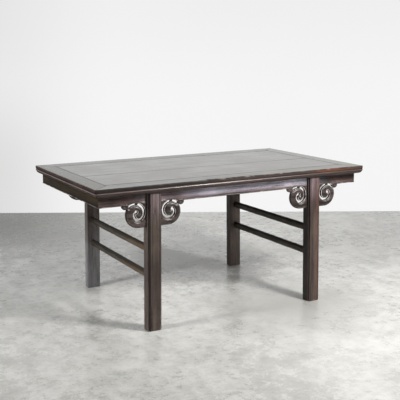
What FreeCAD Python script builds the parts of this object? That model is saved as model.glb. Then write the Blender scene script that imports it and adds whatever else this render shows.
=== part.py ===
import FreeCAD, Part
import math
import os

# Altar table with recessed, splayed legs: a floating-panel top in a mitred frame, aprons
# tongued into its underside, scrolled spandrels that pass through the slotted leg heads,
# and two oval stretchers at each end. Millimetres, +Z up, +X along the length, the front
# edge towards -Y. The origin is on the floor under the middle of the top.

# Driving sizes of the whole table
TABLE_LENGTH = 1800.0
TABLE_DEPTH = 1046.0
TABLE_HEIGHT = 840.0

# Top frame: mitred members with a moulded outer edge
FRAME_THICKNESS = 49.0
END_MEMBER_WIDTH = 100.0
LONG_MEMBER_WIDTH = 119.0
ARRIS_RADIUS = 4.0
FASCIA_HEIGHT = 16.0
COVE_INSET = 3.0
COVE_HEIGHT = 5.5
COVE_HOLLOW = 1.2
EDGE_BEAD_HEIGHT = 9.5
EDGE_BEAD_SET_BACK = 1.0
EDGE_BEAD_BULGE = 3.4
UNDERCUT_INSET = 25.5
UNDERCUT_BULGE = 5.0
CORNER_TENON_THICKNESS = 14.0
CORNER_TENON_WIDTH = 55.0
CORNER_TENON_DEPTH = 60.0
CORNER_TENON_SHOULDER = 5.0

# Floating panel of two tongued and grooved boards
PANEL_THICKNESS = 17.0
PANEL_GAP = 1.6
PANEL_TONGUE_THICKNESS = 7.0
PANEL_TONGUE_REACH = 9.0
PANEL_TONGUE_COVER = 5.0
BOARD_JOINT_SHIFT = -58.0
BOARD_JOINT_GAP = 0.6
BOARD_TONGUE_THICKNESS = 5.0
BOARD_TONGUE_REACH = 8.0

# Dovetailed battens under the panel
BATTEN_COUNT = 4
BATTEN_WIDTH = 40.0
BATTEN_HEIGHT = 28.0
DOVETAIL_DEPTH = 4.5
DOVETAIL_NECK = 24.0
DOVETAIL_HEAD = 32.0
BATTEN_TENON_WIDTH = 26.0
BATTEN_TENON_THICKNESS = 12.0
BATTEN_TENON_LENGTH = 20.0

# Aprons under the frame, set in from its outer edge
APRON_EDGE_INSET = 47.5
APRON_END_INSET = 31.5
APRON_HEIGHT = 61.0
APRON_THICKNESS = 12.0
APRON_TONGUE_THICKNESS = 5.0
APRON_TONGUE_HEIGHT = 7.0

# Legs: outer faces measured at the height of the top, splayed outwards towards the floor
LEG_WIDTH = 85.0
LEG_DEPTH = 62.0
LEG_END_INSET = 315.5
LEG_EDGE_INSET = 26.0
LEG_SPLAY_ALONG = 12.5
LEG_SPLAY_ACROSS = 6.5
LEG_NOTCH = 8.0
LEG_BEAD_WIDTH = 7.0
LEG_BEAD_DROP = 2.2
LEG_GROOVE_WIDTH = 3.0
LEG_FIELD_CROWN = 0.9
LEG_INNER_EASE = 3.0
LEG_TENON_WIDTH = 17.0
LEG_TENON_THICKNESS = 14.0
LEG_TENON_HEIGHT = 30.0
LEG_TENON_SPACING = 34.0

# Spandrels: one board for each leg with a scroll on either side. Places are measured
# outwards from the leg's side and down from the lower edge of the apron.
MITRE_TOP_REACH = 48.5
MITRE_FOOT_REACH = 118.5
SCROLL_RADIUS = 73.5
SCROLL_CENTRE_OUT = 51.5
SCROLL_CENTRE_DOWN = 56.5
SPIRAL_CENTRE_OUT = 61.5
SPIRAL_CENTRE_DOWN = 52.5
SPIRAL_START_RADIUS = 67.0
SPIRAL_DRAW_PER_RADIAN = 7.0
SLOT_WIDTH = 11.0
DROP_RADIUS = 8.5
DROP_OUT = 69.0
DROP_DOWN = 42.5
HOOK_RADIUS = 20.0
HOOK_CENTRE_OUT = 127.0
HOOK_CENTRE_DOWN = 3.0
BRIDGE_WIDTH = 12.0
# Turn angles of the spiral slot, in degrees from straight outwards
SLOT_START_TURN = 44.0
SLOT_END_TURN = 405.0
BRIDGE_TURNS = (84.0, 166.0)
ARC_TURN = 30.0

# Stretchers between the front and back leg at each end
STRETCHER_WIDTH = 28.0
STRETCHER_HEIGHT = 46.0
STRETCHER_OUTWARD_SHIFT = 3.0
STRETCHER_LEVELS = {"upper": 460.0, "lower": 308.0}
STRETCHER_TENON_WIDTH = 13.0
STRETCHER_TENON_HEIGHT = 30.0
STRETCHER_TENON_LENGTH = 36.0

# Fits
TENON_FIT = 0.2
MORTISE_END_ROOM = 1.0
CURVE_GAP = 0.3
CUT_OVERRUN = 5.0

# Derived places
HALF_LENGTH = TABLE_LENGTH / 2
HALF_DEPTH = TABLE_DEPTH / 2
FRAME_UNDERSIDE = TABLE_HEIGHT - FRAME_THICKNESS
PANEL_UNDERSIDE = TABLE_HEIGHT - PANEL_THICKNESS
APRON_FOOT = FRAME_UNDERSIDE - APRON_HEIGHT
APRON_FRONT = -HALF_DEPTH + APRON_EDGE_INSET
APRON_BACK = APRON_FRONT + APRON_THICKNESS
SCROLL_FOOT = APRON_FOOT - SCROLL_CENTRE_DOWN - SCROLL_RADIUS
OPENING_X = HALF_LENGTH - END_MEMBER_WIDTH
OPENING_Y = HALF_DEPTH - LONG_MEMBER_WIDTH
OUT_X = FreeCAD.Vector(1, 0, 0)
OUT_Y = FreeCAD.Vector(0, 1, 0)
ORIGIN = FreeCAD.Vector(0, 0, 0)


def vec(x, y, z):
    return FreeCAD.Vector(x, y, z)


def box(x0, x1, y0, y1, z0, z1):
    return Part.makeBox(x1 - x0, y1 - y0, z1 - z0, vec(x0, y0, z0))


def plan_prism(points, z0, z1):
    """A straight prism over a polygon of (x, y) points."""
    loop = [vec(x, y, z0) for x, y in points]
    face = Part.Face(Part.makePolygon(loop + loop[:1]))
    return face.extrude(vec(0, 0, z1 - z0))


def elevation_prism(points, y0, y1):
    """A straight prism through the depth over a polygon of (x, z) points."""
    loop = [vec(x, y0, z) for x, z in points]
    face = Part.Face(Part.makePolygon(loop + loop[:1]))
    return face.extrude(vec(0, y1 - y0, 0))


def line(p, q):
    return Part.makeLine(p, q)


def arc(p, through, q):
    return Part.Arc(p, through, q).toShape()


def save(shape, name):
    shape.exportStep("parts/" + name + ".step")


def mirror_x(shape):
    return shape.mirror(ORIGIN, OUT_X)


def mirror_y(shape):
    return shape.mirror(ORIGIN, OUT_Y)


# Top frame


def bulged(place, p, q, rise):
    """An arc from p to q in (inset, height) terms. A rise above zero swells outwards."""
    run_s, run_z = q[0] - p[0], q[1] - p[1]
    chord = math.hypot(run_s, run_z)
    middle_s = (p[0] + q[0]) / 2 + rise * run_z / chord
    middle_z = (p[1] + q[1]) / 2 - rise * run_s / chord
    return arc(place(*p), place(middle_s, middle_z), place(*q))


def member_section(width, place):
    """The moulded cross-section of a frame member. place turns (inset, height) into a point."""
    top, underside = TABLE_HEIGHT, FRAME_UNDERSIDE
    fascia_foot = (0, top - FASCIA_HEIGHT)
    bead_top = (COVE_INSET, fascia_foot[1] - COVE_HEIGHT)
    bead_foot = (COVE_INSET + EDGE_BEAD_SET_BACK, bead_top[1] - EDGE_BEAD_HEIGHT)
    undercut_foot = (UNDERCUT_INSET, underside)
    arris_share = 1 - math.sqrt(0.5)
    arris_middle = place(ARRIS_RADIUS * arris_share, top - ARRIS_RADIUS * arris_share)
    edges = [
        line(place(width, top), place(ARRIS_RADIUS, top)),
        arc(place(ARRIS_RADIUS, top), arris_middle, place(0, top - ARRIS_RADIUS)),
        line(place(0, top - ARRIS_RADIUS), place(*fascia_foot)),
        bulged(place, fascia_foot, bead_top, -COVE_HOLLOW),
        bulged(place, bead_top, bead_foot, EDGE_BEAD_BULGE),
        bulged(place, bead_foot, undercut_foot, UNDERCUT_BULGE),
        line(place(*undercut_foot), place(width, underside)),
        line(place(width, underside), place(width, top)),
    ]
    return Part.Face(Part.Wire(edges))


def corner_tenon(fit, end_room):
    """The blind tenon of the front member in the left end member, or its mortise with a fit."""
    inner = -HALF_LENGTH + END_MEMBER_WIDTH
    low_x = inner - CORNER_TENON_DEPTH - end_room
    high_y = -HALF_DEPTH + END_MEMBER_WIDTH - CORNER_TENON_SHOULDER
    low_y = high_y - CORNER_TENON_WIDTH
    middle = TABLE_HEIGHT - PANEL_THICKNESS - CORNER_TENON_THICKNESS / 2
    half = CORNER_TENON_THICKNESS / 2 + fit
    return box(low_x, inner, low_y - fit, high_y + fit, middle - half, middle + half)


def four_ways(shape):
    """A shape in the front left quarter, with its three mirrored copies, as one cutter."""
    pair = shape.fuse(mirror_x(shape))
    return pair.fuse(mirror_y(pair))


def apron_ring(inset, thickness, z0, z1):
    """A rectangular ring that follows the four aprons, its outer faces further in by inset."""
    out_x = HALF_LENGTH - APRON_END_INSET - inset
    out_y = HALF_DEPTH - APRON_EDGE_INSET - inset
    in_x, in_y = out_x - thickness, out_y - thickness
    room = CUT_OVERRUN
    outer = box(-out_x, out_x, -out_y, out_y, z0, z1)
    return outer.cut(box(-in_x, in_x, -in_y, in_y, z0 - room, z1 + room))


def tongue_inset():
    return (APRON_THICKNESS - APRON_TONGUE_THICKNESS) / 2


def tongue_groove():
    """The groove in the frame's underside that takes the aprons' tongues."""
    depth = APRON_TONGUE_HEIGHT + MORTISE_END_ROOM
    width = APRON_TONGUE_THICKNESS + 2 * TENON_FIT
    return apron_ring(tongue_inset() - TENON_FIT, width, FRAME_UNDERSIDE - depth, FRAME_UNDERSIDE + depth)


def panel_groove():
    """The groove round the frame's opening that takes the panel's tongue."""
    reach = PANEL_TONGUE_REACH + MORTISE_END_ROOM
    foot = TABLE_HEIGHT - PANEL_TONGUE_COVER - PANEL_TONGUE_THICKNESS
    top = foot + PANEL_TONGUE_THICKNESS + TENON_FIT
    return box(-OPENING_X - reach, OPENING_X + reach, -OPENING_Y - reach, OPENING_Y + reach, foot, top)


def member_plan(half_run, half_cross, width, other_width):
    """Plan outline of the member along the first axis: mitred, with a square shoulder left
    where it is wider than the member it meets."""
    mitre = min(width, other_width)
    inner = half_run - mitre
    outer = half_cross - width
    return [
        (-half_run, -half_cross),
        (half_run, -half_cross),
        (inner, -half_cross + mitre),
        (inner, -outer),
        (-inner, -outer),
        (-inner, -half_cross + mitre),
    ]


def distinct(points):
    """The same outline without points that fall on their neighbour."""
    return [p for i, p in enumerate(points) if math.dist(p, points[i - 1]) > TENON_FIT]


def long_member(cutters):
    section = member_section(LONG_MEMBER_WIDTH, lambda s, z: vec(-HALF_LENGTH, -HALF_DEPTH + s, z))
    bar = section.extrude(vec(TABLE_LENGTH, 0, 0))
    outline = member_plan(HALF_LENGTH, HALF_DEPTH, LONG_MEMBER_WIDTH, END_MEMBER_WIDTH)
    room = CUT_OVERRUN
    bar = bar.common(plan_prism(distinct(outline), FRAME_UNDERSIDE - room, TABLE_HEIGHT + room))
    tenon = corner_tenon(0, 0)
    return bar.fuse([tenon, mirror_x(tenon)]).cut(cutters).removeSplitter()


def end_member(cutters):
    section = member_section(END_MEMBER_WIDTH, lambda s, z: vec(-HALF_LENGTH + s, -HALF_DEPTH, z))
    bar = section.extrude(vec(0, TABLE_DEPTH, 0))
    outline = member_plan(HALF_DEPTH, HALF_LENGTH, END_MEMBER_WIDTH, LONG_MEMBER_WIDTH)
    outline = [(y, x) for x, y in distinct(outline)]
    room = CUT_OVERRUN
    bar = bar.common(plan_prism(outline, FRAME_UNDERSIDE - room, TABLE_HEIGHT + room))
    mortise = corner_tenon(TENON_FIT, MORTISE_END_ROOM)
    return bar.cut([mortise, mirror_y(mortise)]).cut(cutters).removeSplitter()


# Panel and battens


def batten_places():
    pitch = 2 * OPENING_X / BATTEN_COUNT
    return [-OPENING_X + pitch * (i + 0.5) for i in range(BATTEN_COUNT)]


def dovetail(x, fit):
    """The dovetail key along the top of a batten at x, or its housing with a fit."""
    foot, head = PANEL_UNDERSIDE, PANEL_UNDERSIDE + DOVETAIL_DEPTH + fit
    neck, width = DOVETAIL_NECK / 2 + fit, DOVETAIL_HEAD / 2 + fit
    points = [(x - neck, foot), (x + neck, foot), (x + width, head), (x - width, head)]
    return elevation_prism(points, -OPENING_Y, OPENING_Y)


def batten(x):
    foot = PANEL_UNDERSIDE - BATTEN_HEIGHT
    beam = box(x - BATTEN_WIDTH / 2, x + BATTEN_WIDTH / 2, -OPENING_Y, OPENING_Y, foot, PANEL_UNDERSIDE)
    return beam.fuse([dovetail(x, 0), batten_tenons(x, 0, 0)]).removeSplitter()


def batten_tenons(x, fit, end_room):
    half_width = BATTEN_TENON_WIDTH / 2 + fit
    middle = PANEL_UNDERSIDE - BATTEN_HEIGHT / 2
    half_height = BATTEN_TENON_THICKNESS / 2 + fit
    reach = OPENING_Y + BATTEN_TENON_LENGTH + end_room
    return box(x - half_width, x + half_width, -reach, reach, middle - half_height, middle + half_height)


def board_joint_tongue(fit, end_room):
    joint = BOARD_JOINT_SHIFT - BOARD_JOINT_GAP / 2
    middle = TABLE_HEIGHT - PANEL_THICKNESS / 2
    half = BOARD_TONGUE_THICKNESS / 2 + fit
    reach = BOARD_TONGUE_REACH + end_room
    across = OPENING_X - PANEL_GAP
    return box(-across, across, joint, joint + reach, middle - half, middle + half)


def panel_board(y0, y1, tongue_y0, tongue_y1, housings):
    """One board of the panel with its outer tongue. The y limits are those of its body and tongue."""
    half = OPENING_X - PANEL_GAP
    reach = OPENING_X + PANEL_TONGUE_REACH
    tongue_foot = TABLE_HEIGHT - PANEL_TONGUE_COVER - PANEL_TONGUE_THICKNESS
    tongue_top = tongue_foot + PANEL_TONGUE_THICKNESS
    body = box(-half, half, y0, y1, PANEL_UNDERSIDE, TABLE_HEIGHT)
    tongue = box(-reach, reach, tongue_y0, tongue_y1, tongue_foot, tongue_top)
    return body.fuse(tongue).cut(housings)


def panel_boards(housings):
    edge = OPENING_Y - PANEL_GAP
    tongue_edge = OPENING_Y + PANEL_TONGUE_REACH
    front_joint = BOARD_JOINT_SHIFT - BOARD_JOINT_GAP / 2
    back_joint = BOARD_JOINT_SHIFT + BOARD_JOINT_GAP / 2
    front = panel_board(-edge, front_joint, -tongue_edge, front_joint, housings)
    back = panel_board(back_joint, edge, back_joint, tongue_edge, housings)
    front = front.fuse(board_joint_tongue(0, 0)).removeSplitter()
    back = back.cut(board_joint_tongue(TENON_FIT, MORTISE_END_ROOM)).removeSplitter()
    return front, back


# Legs


def leg_drift(z):
    """How far a leg has run outwards, along and across the table, at height z."""
    share = 1 - z / TABLE_HEIGHT
    return LEG_SPLAY_ALONG * share, LEG_SPLAY_ACROSS * share


def leg_side(z):
    """X of the left leg's outer side face at height z."""
    return -HALF_LENGTH + LEG_END_INSET - leg_drift(z)[0]


def leg_front(z):
    """Y of the front leg's outer face at height z."""
    return -HALF_DEPTH + LEG_EDGE_INSET - leg_drift(z)[1]


def leg_section():
    """The leg's cross-section on the floor: notched, beaded outer corners and a crowned field."""
    x, y = leg_side(0), leg_front(0)

    def left(a, b):
        return vec(x + a, y + b, 0)

    def right(a, b):
        return vec(x + LEG_WIDTH - a, y + b, 0)

    bead_end = LEG_NOTCH + LEG_BEAD_WIDTH
    bead_crown = LEG_NOTCH + LEG_BEAD_WIDTH / 2
    groove_end = bead_end + LEG_GROOVE_WIDTH
    ease = LEG_INNER_EASE
    ease_middle = ease * (1 - math.sqrt(0.5))
    edges = []
    for side in (left, right):
        edges += [
            arc(side(ease, LEG_DEPTH), side(ease_middle, LEG_DEPTH - ease_middle), side(0, LEG_DEPTH - ease)),
            line(side(0, LEG_DEPTH - ease), side(0, groove_end)),
            line(side(0, groove_end), side(LEG_BEAD_DROP, bead_end)),
            arc(side(LEG_BEAD_DROP, bead_end), side(0, bead_crown), side(LEG_BEAD_DROP, LEG_NOTCH)),
            line(side(LEG_BEAD_DROP, LEG_NOTCH), side(LEG_NOTCH, LEG_NOTCH)),
            line(side(LEG_NOTCH, LEG_NOTCH), side(LEG_NOTCH, LEG_BEAD_DROP)),
            arc(side(LEG_NOTCH, LEG_BEAD_DROP), side(bead_crown, 0), side(bead_end, LEG_BEAD_DROP)),
            line(side(bead_end, LEG_BEAD_DROP), side(groove_end, LEG_FIELD_CROWN)),
        ]
    field_left, field_right = left(groove_end, LEG_FIELD_CROWN), right(groove_end, LEG_FIELD_CROWN)
    edges.append(arc(field_left, left(LEG_WIDTH / 2, 0), field_right))
    edges.append(line(left(ease, LEG_DEPTH), right(ease, LEG_DEPTH)))
    return Part.Face(Part.Wire(Part.__sortEdges__(edges)))


def leg_tenons(fit, end_room):
    """The pair of tenons on the head of the front left leg, or their mortises with a fit."""
    middle_x = leg_side(FRAME_UNDERSIDE) + LEG_WIDTH / 2
    inner_face = leg_front(FRAME_UNDERSIDE) + LEG_DEPTH
    middle_y = (APRON_BACK + inner_face) / 2
    half_x, half_y = LEG_TENON_WIDTH / 2 + fit, LEG_TENON_THICKNESS / 2 + fit
    top = FRAME_UNDERSIDE + LEG_TENON_HEIGHT + end_room
    tenons = []
    for shift in (-LEG_TENON_SPACING / 2, LEG_TENON_SPACING / 2):
        x = middle_x + shift
        foot = FRAME_UNDERSIDE - CUT_OVERRUN
        tenons.append(box(x - half_x, x + half_x, middle_y - half_y, middle_y + half_y, foot, top))
    return tenons[0].fuse(tenons[1])


def stretcher_middle(z):
    return leg_side(z) + LEG_WIDTH / 2 - STRETCHER_OUTWARD_SHIFT


def stretcher_tenon(z, fit, end_room):
    """The tenon that runs from a stretcher into the front left leg, or its mortise with a fit."""
    x = stretcher_middle(z)
    inner_face = leg_front(z) + LEG_DEPTH
    half_x, half_z = STRETCHER_TENON_WIDTH / 2 + fit, STRETCHER_TENON_HEIGHT / 2 + fit
    low_y = inner_face - STRETCHER_TENON_LENGTH - end_room
    return box(x - half_x, x + half_x, low_y, inner_face + CUT_OVERRUN, z - half_z, z + half_z)


def leg_prism(section):
    """A section on the floor carried up the leaning line of the leg to the frame."""
    along, across = leg_drift(0)
    along_top, across_top = leg_drift(FRAME_UNDERSIDE)
    return section.extrude(vec(along - along_top, across - across_top, FRAME_UNDERSIDE))


def leg():
    """The front left leg: its head is slotted for the spandrel board and tenoned into the frame."""
    shaft = leg_prism(leg_section())
    x, room = leg_side(0), CUT_OVERRUN
    head = box(
        x - room,
        x + LEG_WIDTH + LEG_SPLAY_ALONG + room,
        APRON_FRONT - TENON_FIT,
        APRON_BACK + TENON_FIT,
        SCROLL_FOOT,
        FRAME_UNDERSIDE + room,
    )
    mortises = [stretcher_tenon(z, TENON_FIT, MORTISE_END_ROOM) for z in STRETCHER_LEVELS.values()]
    return shaft.cut([head] + mortises).fuse(leg_tenons(0, 0)).removeSplitter()


# Aprons and spandrels


def rail():
    """The whole front apron with its tongue, mitred at both ends, before it is divided."""
    board = apron_ring(0, APRON_THICKNESS, APRON_FOOT, FRAME_UNDERSIDE)
    tongue_top = FRAME_UNDERSIDE + APRON_TONGUE_HEIGHT
    tongue = apron_ring(tongue_inset(), APRON_TONGUE_THICKNESS, FRAME_UNDERSIDE, tongue_top)
    return board.fuse(tongue)


def quarter_prism(along_front):
    """The part of the table's plan whose apron faces the front, or the left end."""
    corner = (-HALF_LENGTH + APRON_END_INSET, -HALF_DEPTH + APRON_EDGE_INSET)
    inward = HALF_DEPTH - APRON_EDGE_INSET - APRON_THICKNESS
    deep = (corner[0] + inward, corner[1] + inward)
    if along_front:
        points = [corner, (-corner[0], corner[1]), (-deep[0], deep[1]), deep]
    else:
        points = [corner, deep, (deep[0], -deep[1]), (corner[0], -corner[1])]
    return plan_prism(points, APRON_FOOT - CUT_OVERRUN, TABLE_HEIGHT)


def spandrel_middle():
    return leg_side(APRON_FOOT) + LEG_WIDTH / 2


def out_from_leg(out, down, side):
    """X and Z of a place measured from a side of the front left leg and the apron's lower edge."""
    return spandrel_middle() + side * (LEG_WIDTH / 2 + out), APRON_FOOT - down


def mitred_block(room):
    """The length of apron that is one piece with the spandrel, as a cutter with some depth to spare."""
    top = FRAME_UNDERSIDE + APRON_TONGUE_HEIGHT + room
    left, right = [out_from_leg(MITRE_TOP_REACH, 0, side)[0] for side in (-1, 1)]
    foot_left, foot_right = [out_from_leg(MITRE_FOOT_REACH, 0, side)[0] for side in (-1, 1)]
    points = [
        (left, top),
        (right, top),
        (right, FRAME_UNDERSIDE),
        (foot_right, APRON_FOOT),
        (foot_left, APRON_FOOT),
        (left, FRAME_UNDERSIDE),
    ]
    return elevation_prism(points, APRON_FRONT - room, APRON_BACK + room)


def disc(out, down, side, radius, room):
    """A round plate through the thickness of the spandrel board."""
    x, z = out_from_leg(out, down, side)
    return Part.makeCylinder(radius, APRON_THICKNESS + 2 * room, vec(x, APRON_FRONT - room, z), OUT_Y)


def slot_point(turn, offset, side):
    """A point of the spiral slot at a turn in radians, off its middle line by offset."""
    radius = SPIRAL_START_RADIUS - SPIRAL_DRAW_PER_RADIAN * turn + offset
    out = SPIRAL_CENTRE_OUT + radius * math.cos(turn)
    down = SPIRAL_CENTRE_DOWN - radius * math.sin(turn)
    x, z = out_from_leg(out, down, side)
    return vec(x, APRON_FRONT - CUT_OVERRUN, z)


def cap_angle(turn):
    """The angle that half the slot's width spans at a turn of the spiral."""
    return SLOT_WIDTH / 2 / (SPIRAL_START_RADIUS - SPIRAL_DRAW_PER_RADIAN * turn)


def slot_arcs(first, last, offset, side):
    count = max(1, round(math.degrees(abs(last - first)) / ARC_TURN))
    step = (last - first) / count
    arcs = []
    for i in range(count):
        start = first + step * i
        points = [slot_point(start + part, offset, side) for part in (0, step / 2, step)]
        arcs.append(arc(*points))
    return arcs


def slot_end(turn, tip, half, side):
    """The rounded end of a stretch of slot, from its half width on one side to the other."""
    return arc(slot_point(turn, half, side), slot_point(tip, 0, side), slot_point(turn, -half, side))


def slot_cutter(first_tip, last_tip, side):
    """One stretch of the spiral slot between two rounded tips, as a cutter."""
    first, last = first_tip + cap_angle(first_tip), last_tip - cap_angle(last_tip)
    half = SLOT_WIDTH / 2
    edges = slot_arcs(first, last, half, side)
    edges.append(slot_end(last, last_tip, half, side))
    edges += slot_arcs(last, first, -half, side)
    edges.append(slot_end(first, first_tip, -half, side))
    face = Part.Face(Part.Wire(edges))
    return face.extrude(vec(0, APRON_THICKNESS + 2 * CUT_OVERRUN, 0))


def slot_cutters(side):
    """The spiral slot in three stretches that leave two bridges, and the round drop at its end."""
    tips = [math.radians(SLOT_START_TURN)]
    for degrees in BRIDGE_TURNS:
        turn = math.radians(degrees)
        half = BRIDGE_WIDTH / 2 / (SPIRAL_START_RADIUS - SPIRAL_DRAW_PER_RADIAN * turn)
        tips += [turn - half, turn + half]
    tips.append(math.radians(SLOT_END_TURN))
    cutters = [slot_cutter(a, b, side) for a, b in zip(tips[::2], tips[1::2])]
    cutters.append(disc(DROP_OUT, DROP_DOWN, side, DROP_RADIUS, CUT_OVERRUN))
    return cutters


def spandrel(front_rail):
    """The front left spandrel: a mitred head in the apron and a pierced scroll on either side."""
    shape = front_rail.common(mitred_block(CUT_OVERRUN))
    left, right = [out_from_leg(SCROLL_CENTRE_OUT, 0, side)[0] for side in (-1, 1)]
    shape = shape.fuse(box(left, right, APRON_FRONT, APRON_BACK, SCROLL_FOOT, APRON_FOOT))
    for side in (-1, 1):
        shape = shape.fuse(disc(SCROLL_CENTRE_OUT, SCROLL_CENTRE_DOWN, side, SCROLL_RADIUS, 0))
    for side in (-1, 1):
        for cutter in slot_cutters(side):
            shape = shape.cut(cutter)
    return shape.removeSplitter()


def hooked(apron, side):
    """An apron with the hook that meets the scroll on one side of the front left leg."""
    hook = disc(HOOK_CENTRE_OUT, HOOK_CENTRE_DOWN, side, HOOK_RADIUS, 0)
    hook = hook.cut(disc(SCROLL_CENTRE_OUT, SCROLL_CENTRE_DOWN, side, SCROLL_RADIUS + CURVE_GAP, CUT_OVERRUN))
    apron = apron.fuse(hook.cut(mitred_block(CUT_OVERRUN)))
    for cutter in slot_cutters(side):
        apron = apron.cut(cutter)
    return apron.removeSplitter()


def front_aprons(front_rail):
    """The wing from the left corner to the leg, and the long apron between the two front legs."""
    middle = spandrel_middle()
    room = CUT_OVERRUN
    y0, y1 = APRON_FRONT - room, APRON_BACK + room
    z0, z1 = APRON_FOOT - room, TABLE_HEIGHT
    wing = front_rail.common(box(-HALF_LENGTH, middle, y0, y1, z0, z1)).cut(mitred_block(room))
    centre = front_rail.common(box(middle, -middle, y0, y1, z0, z1))
    centre = centre.cut(mitred_block(room)).cut(mirror_x(mitred_block(room)))
    centre = mirror_x(hooked(mirror_x(hooked(centre, 1)), 1))
    return hooked(wing, -1), centre


# Stretchers


def stretcher(z):
    """An oval rail between the left legs, cut to their leaning inner faces, with a tenon at each end."""
    inner_face = leg_front(z) + LEG_DEPTH
    long_way = STRETCHER_HEIGHT / 2
    short_way = STRETCHER_WIDTH / 2
    start = inner_face - CUT_OVERRUN
    oval = Part.Ellipse(
        vec(stretcher_middle(z), start, z + long_way),
        vec(stretcher_middle(z) + short_way, start, z),
        vec(stretcher_middle(z), start, z),
    )
    rod = Part.Face(Part.Wire(oval.toShape())).extrude(vec(0, -2 * start, 0))
    x, y, room = leg_side(0), leg_front(0), LEG_WIDTH
    corners = [(x - room, y), (x + 2 * room, y), (x + 2 * room, y + LEG_DEPTH), (x - room, y + LEG_DEPTH)]
    loop = [vec(a, b, 0) for a, b in corners]
    leg_space = leg_prism(Part.Face(Part.makePolygon(loop + loop[:1])))
    rod = rod.cut([leg_space, mirror_y(leg_space)])
    tenon = stretcher_tenon(z, 0, 0)
    return rod.fuse([tenon, mirror_y(tenon)]).removeSplitter()


def save_frame_and_panel():
    groove = [panel_groove(), tongue_groove()]
    places = batten_places()
    leg_mortises = four_ways(leg_tenons(TENON_FIT, MORTISE_END_ROOM))
    batten_mortises = [batten_tenons(x, TENON_FIT, MORTISE_END_ROOM) for x in places]
    front = long_member(groove + [leg_mortises] + batten_mortises)
    left = end_member(groove)
    save(front, "top_frame_front")
    save(mirror_y(front), "top_frame_back")
    save(left, "top_frame_left")
    save(mirror_x(left), "top_frame_right")
    front_board, back_board = panel_boards([dovetail(x, TENON_FIT) for x in places])
    save(front_board, "top_board_front")
    save(back_board, "top_board_back")
    for number, x in enumerate(places, 1):
        save(batten(x), "batten_%d" % number)


def save_legs_and_stretchers():
    front_left = leg()
    save(front_left, "leg_front_left")
    save(mirror_x(front_left), "leg_front_right")
    save(mirror_y(front_left), "leg_back_left")
    save(mirror_x(mirror_y(front_left)), "leg_back_right")
    for level, z in STRETCHER_LEVELS.items():
        rod = stretcher(z)
        save(rod, "stretcher_left_" + level)
        save(mirror_x(rod), "stretcher_right_" + level)


def save_aprons_and_spandrels():
    whole = rail()
    front_rail = whole.common(quarter_prism(True))
    end_apron = whole.common(quarter_prism(False)).removeSplitter()
    wing, centre = front_aprons(front_rail)
    board = spandrel(front_rail)
    save(end_apron, "apron_left_end")
    save(mirror_x(end_apron), "apron_right_end")
    for row, turn in (("front", lambda s: s), ("back", mirror_y)):
        save(turn(centre), "apron_%s_centre" % row)
        for hand, flip in (("left", lambda s: s), ("right", mirror_x)):
            save(flip(turn(wing)), "apron_%s_%s" % (row, hand))
            save(flip(turn(board)), "spandrel_%s_%s" % (row, hand))


os.makedirs("parts", exist_ok=True)
save_frame_and_panel()
save_legs_and_stretchers()
save_aprons_and_spandrels()
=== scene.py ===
# %% [markdown]
# # An altar table in dark lacquer
# The real table is a mitred frame with two loose boards in it, on four leaning legs. Aprons
# run under the frame, and a board with a carved scroll on either side passes through the
# head of each leg. The CAD model is the fixed frame of this scene. Pieces that are worn or
# carved are made again as finer surfaces in the same place, and the other solids keep their
# meshes and get a finish.

# %% Load the fixed frame
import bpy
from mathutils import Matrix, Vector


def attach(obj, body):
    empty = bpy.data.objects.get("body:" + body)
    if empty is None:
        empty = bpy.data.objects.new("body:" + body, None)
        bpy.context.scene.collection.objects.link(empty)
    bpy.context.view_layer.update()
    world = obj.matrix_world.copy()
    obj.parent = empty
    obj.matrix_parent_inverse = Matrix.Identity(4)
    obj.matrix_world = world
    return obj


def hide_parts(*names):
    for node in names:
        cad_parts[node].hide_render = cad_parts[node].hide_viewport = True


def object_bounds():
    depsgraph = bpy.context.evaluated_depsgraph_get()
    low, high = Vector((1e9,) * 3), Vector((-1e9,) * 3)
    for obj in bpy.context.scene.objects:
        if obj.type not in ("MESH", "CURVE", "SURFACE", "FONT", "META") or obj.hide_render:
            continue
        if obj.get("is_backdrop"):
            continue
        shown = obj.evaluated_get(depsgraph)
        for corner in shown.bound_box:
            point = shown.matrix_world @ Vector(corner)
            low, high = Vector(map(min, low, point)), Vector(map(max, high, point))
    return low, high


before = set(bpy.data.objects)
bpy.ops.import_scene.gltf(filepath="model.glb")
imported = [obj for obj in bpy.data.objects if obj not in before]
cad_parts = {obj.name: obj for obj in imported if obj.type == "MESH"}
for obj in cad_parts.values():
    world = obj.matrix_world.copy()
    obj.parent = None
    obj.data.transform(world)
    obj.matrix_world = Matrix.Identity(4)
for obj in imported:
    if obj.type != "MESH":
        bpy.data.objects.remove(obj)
cad_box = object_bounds()
print("solids in the frame:", len(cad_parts))

# %% [markdown]
# ## The camera
# The photograph was taken from the front left, with the camera a little under twice the
# height of the table. Its place and lens were found by matching the corners of the top, the
# feet and the stretchers. A camera could be aimed by a constraint, but an axis matrix keeps
# the small roll, and nothing has to be worked out later.

# %% Camera
import math
import bpy
import numpy as np
from mathutils import Matrix, Vector

CAMERA_PLACE = (-2.3296, -4.2258, 1.5424)
CAMERA_TURN, CAMERA_DIP, CAMERA_ROLL = np.radians([28.2323, 10.8568, -0.2675])


def camera_axes(turn, dip, roll):
    """Right, up and forward. Forward is +Y turned towards +X and dipped, up is the cross
    product of right and forward, and right and up are then rolled about forward."""
    forward = np.array([math.sin(turn) * math.cos(dip), math.cos(turn) * math.cos(dip), -math.sin(dip)])
    right = np.array([math.cos(turn), -math.sin(turn), 0.0])
    up = np.cross(right, forward)
    level, tilt = math.cos(roll), math.sin(roll)
    return level * right + tilt * up, level * up - tilt * right, forward


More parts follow.
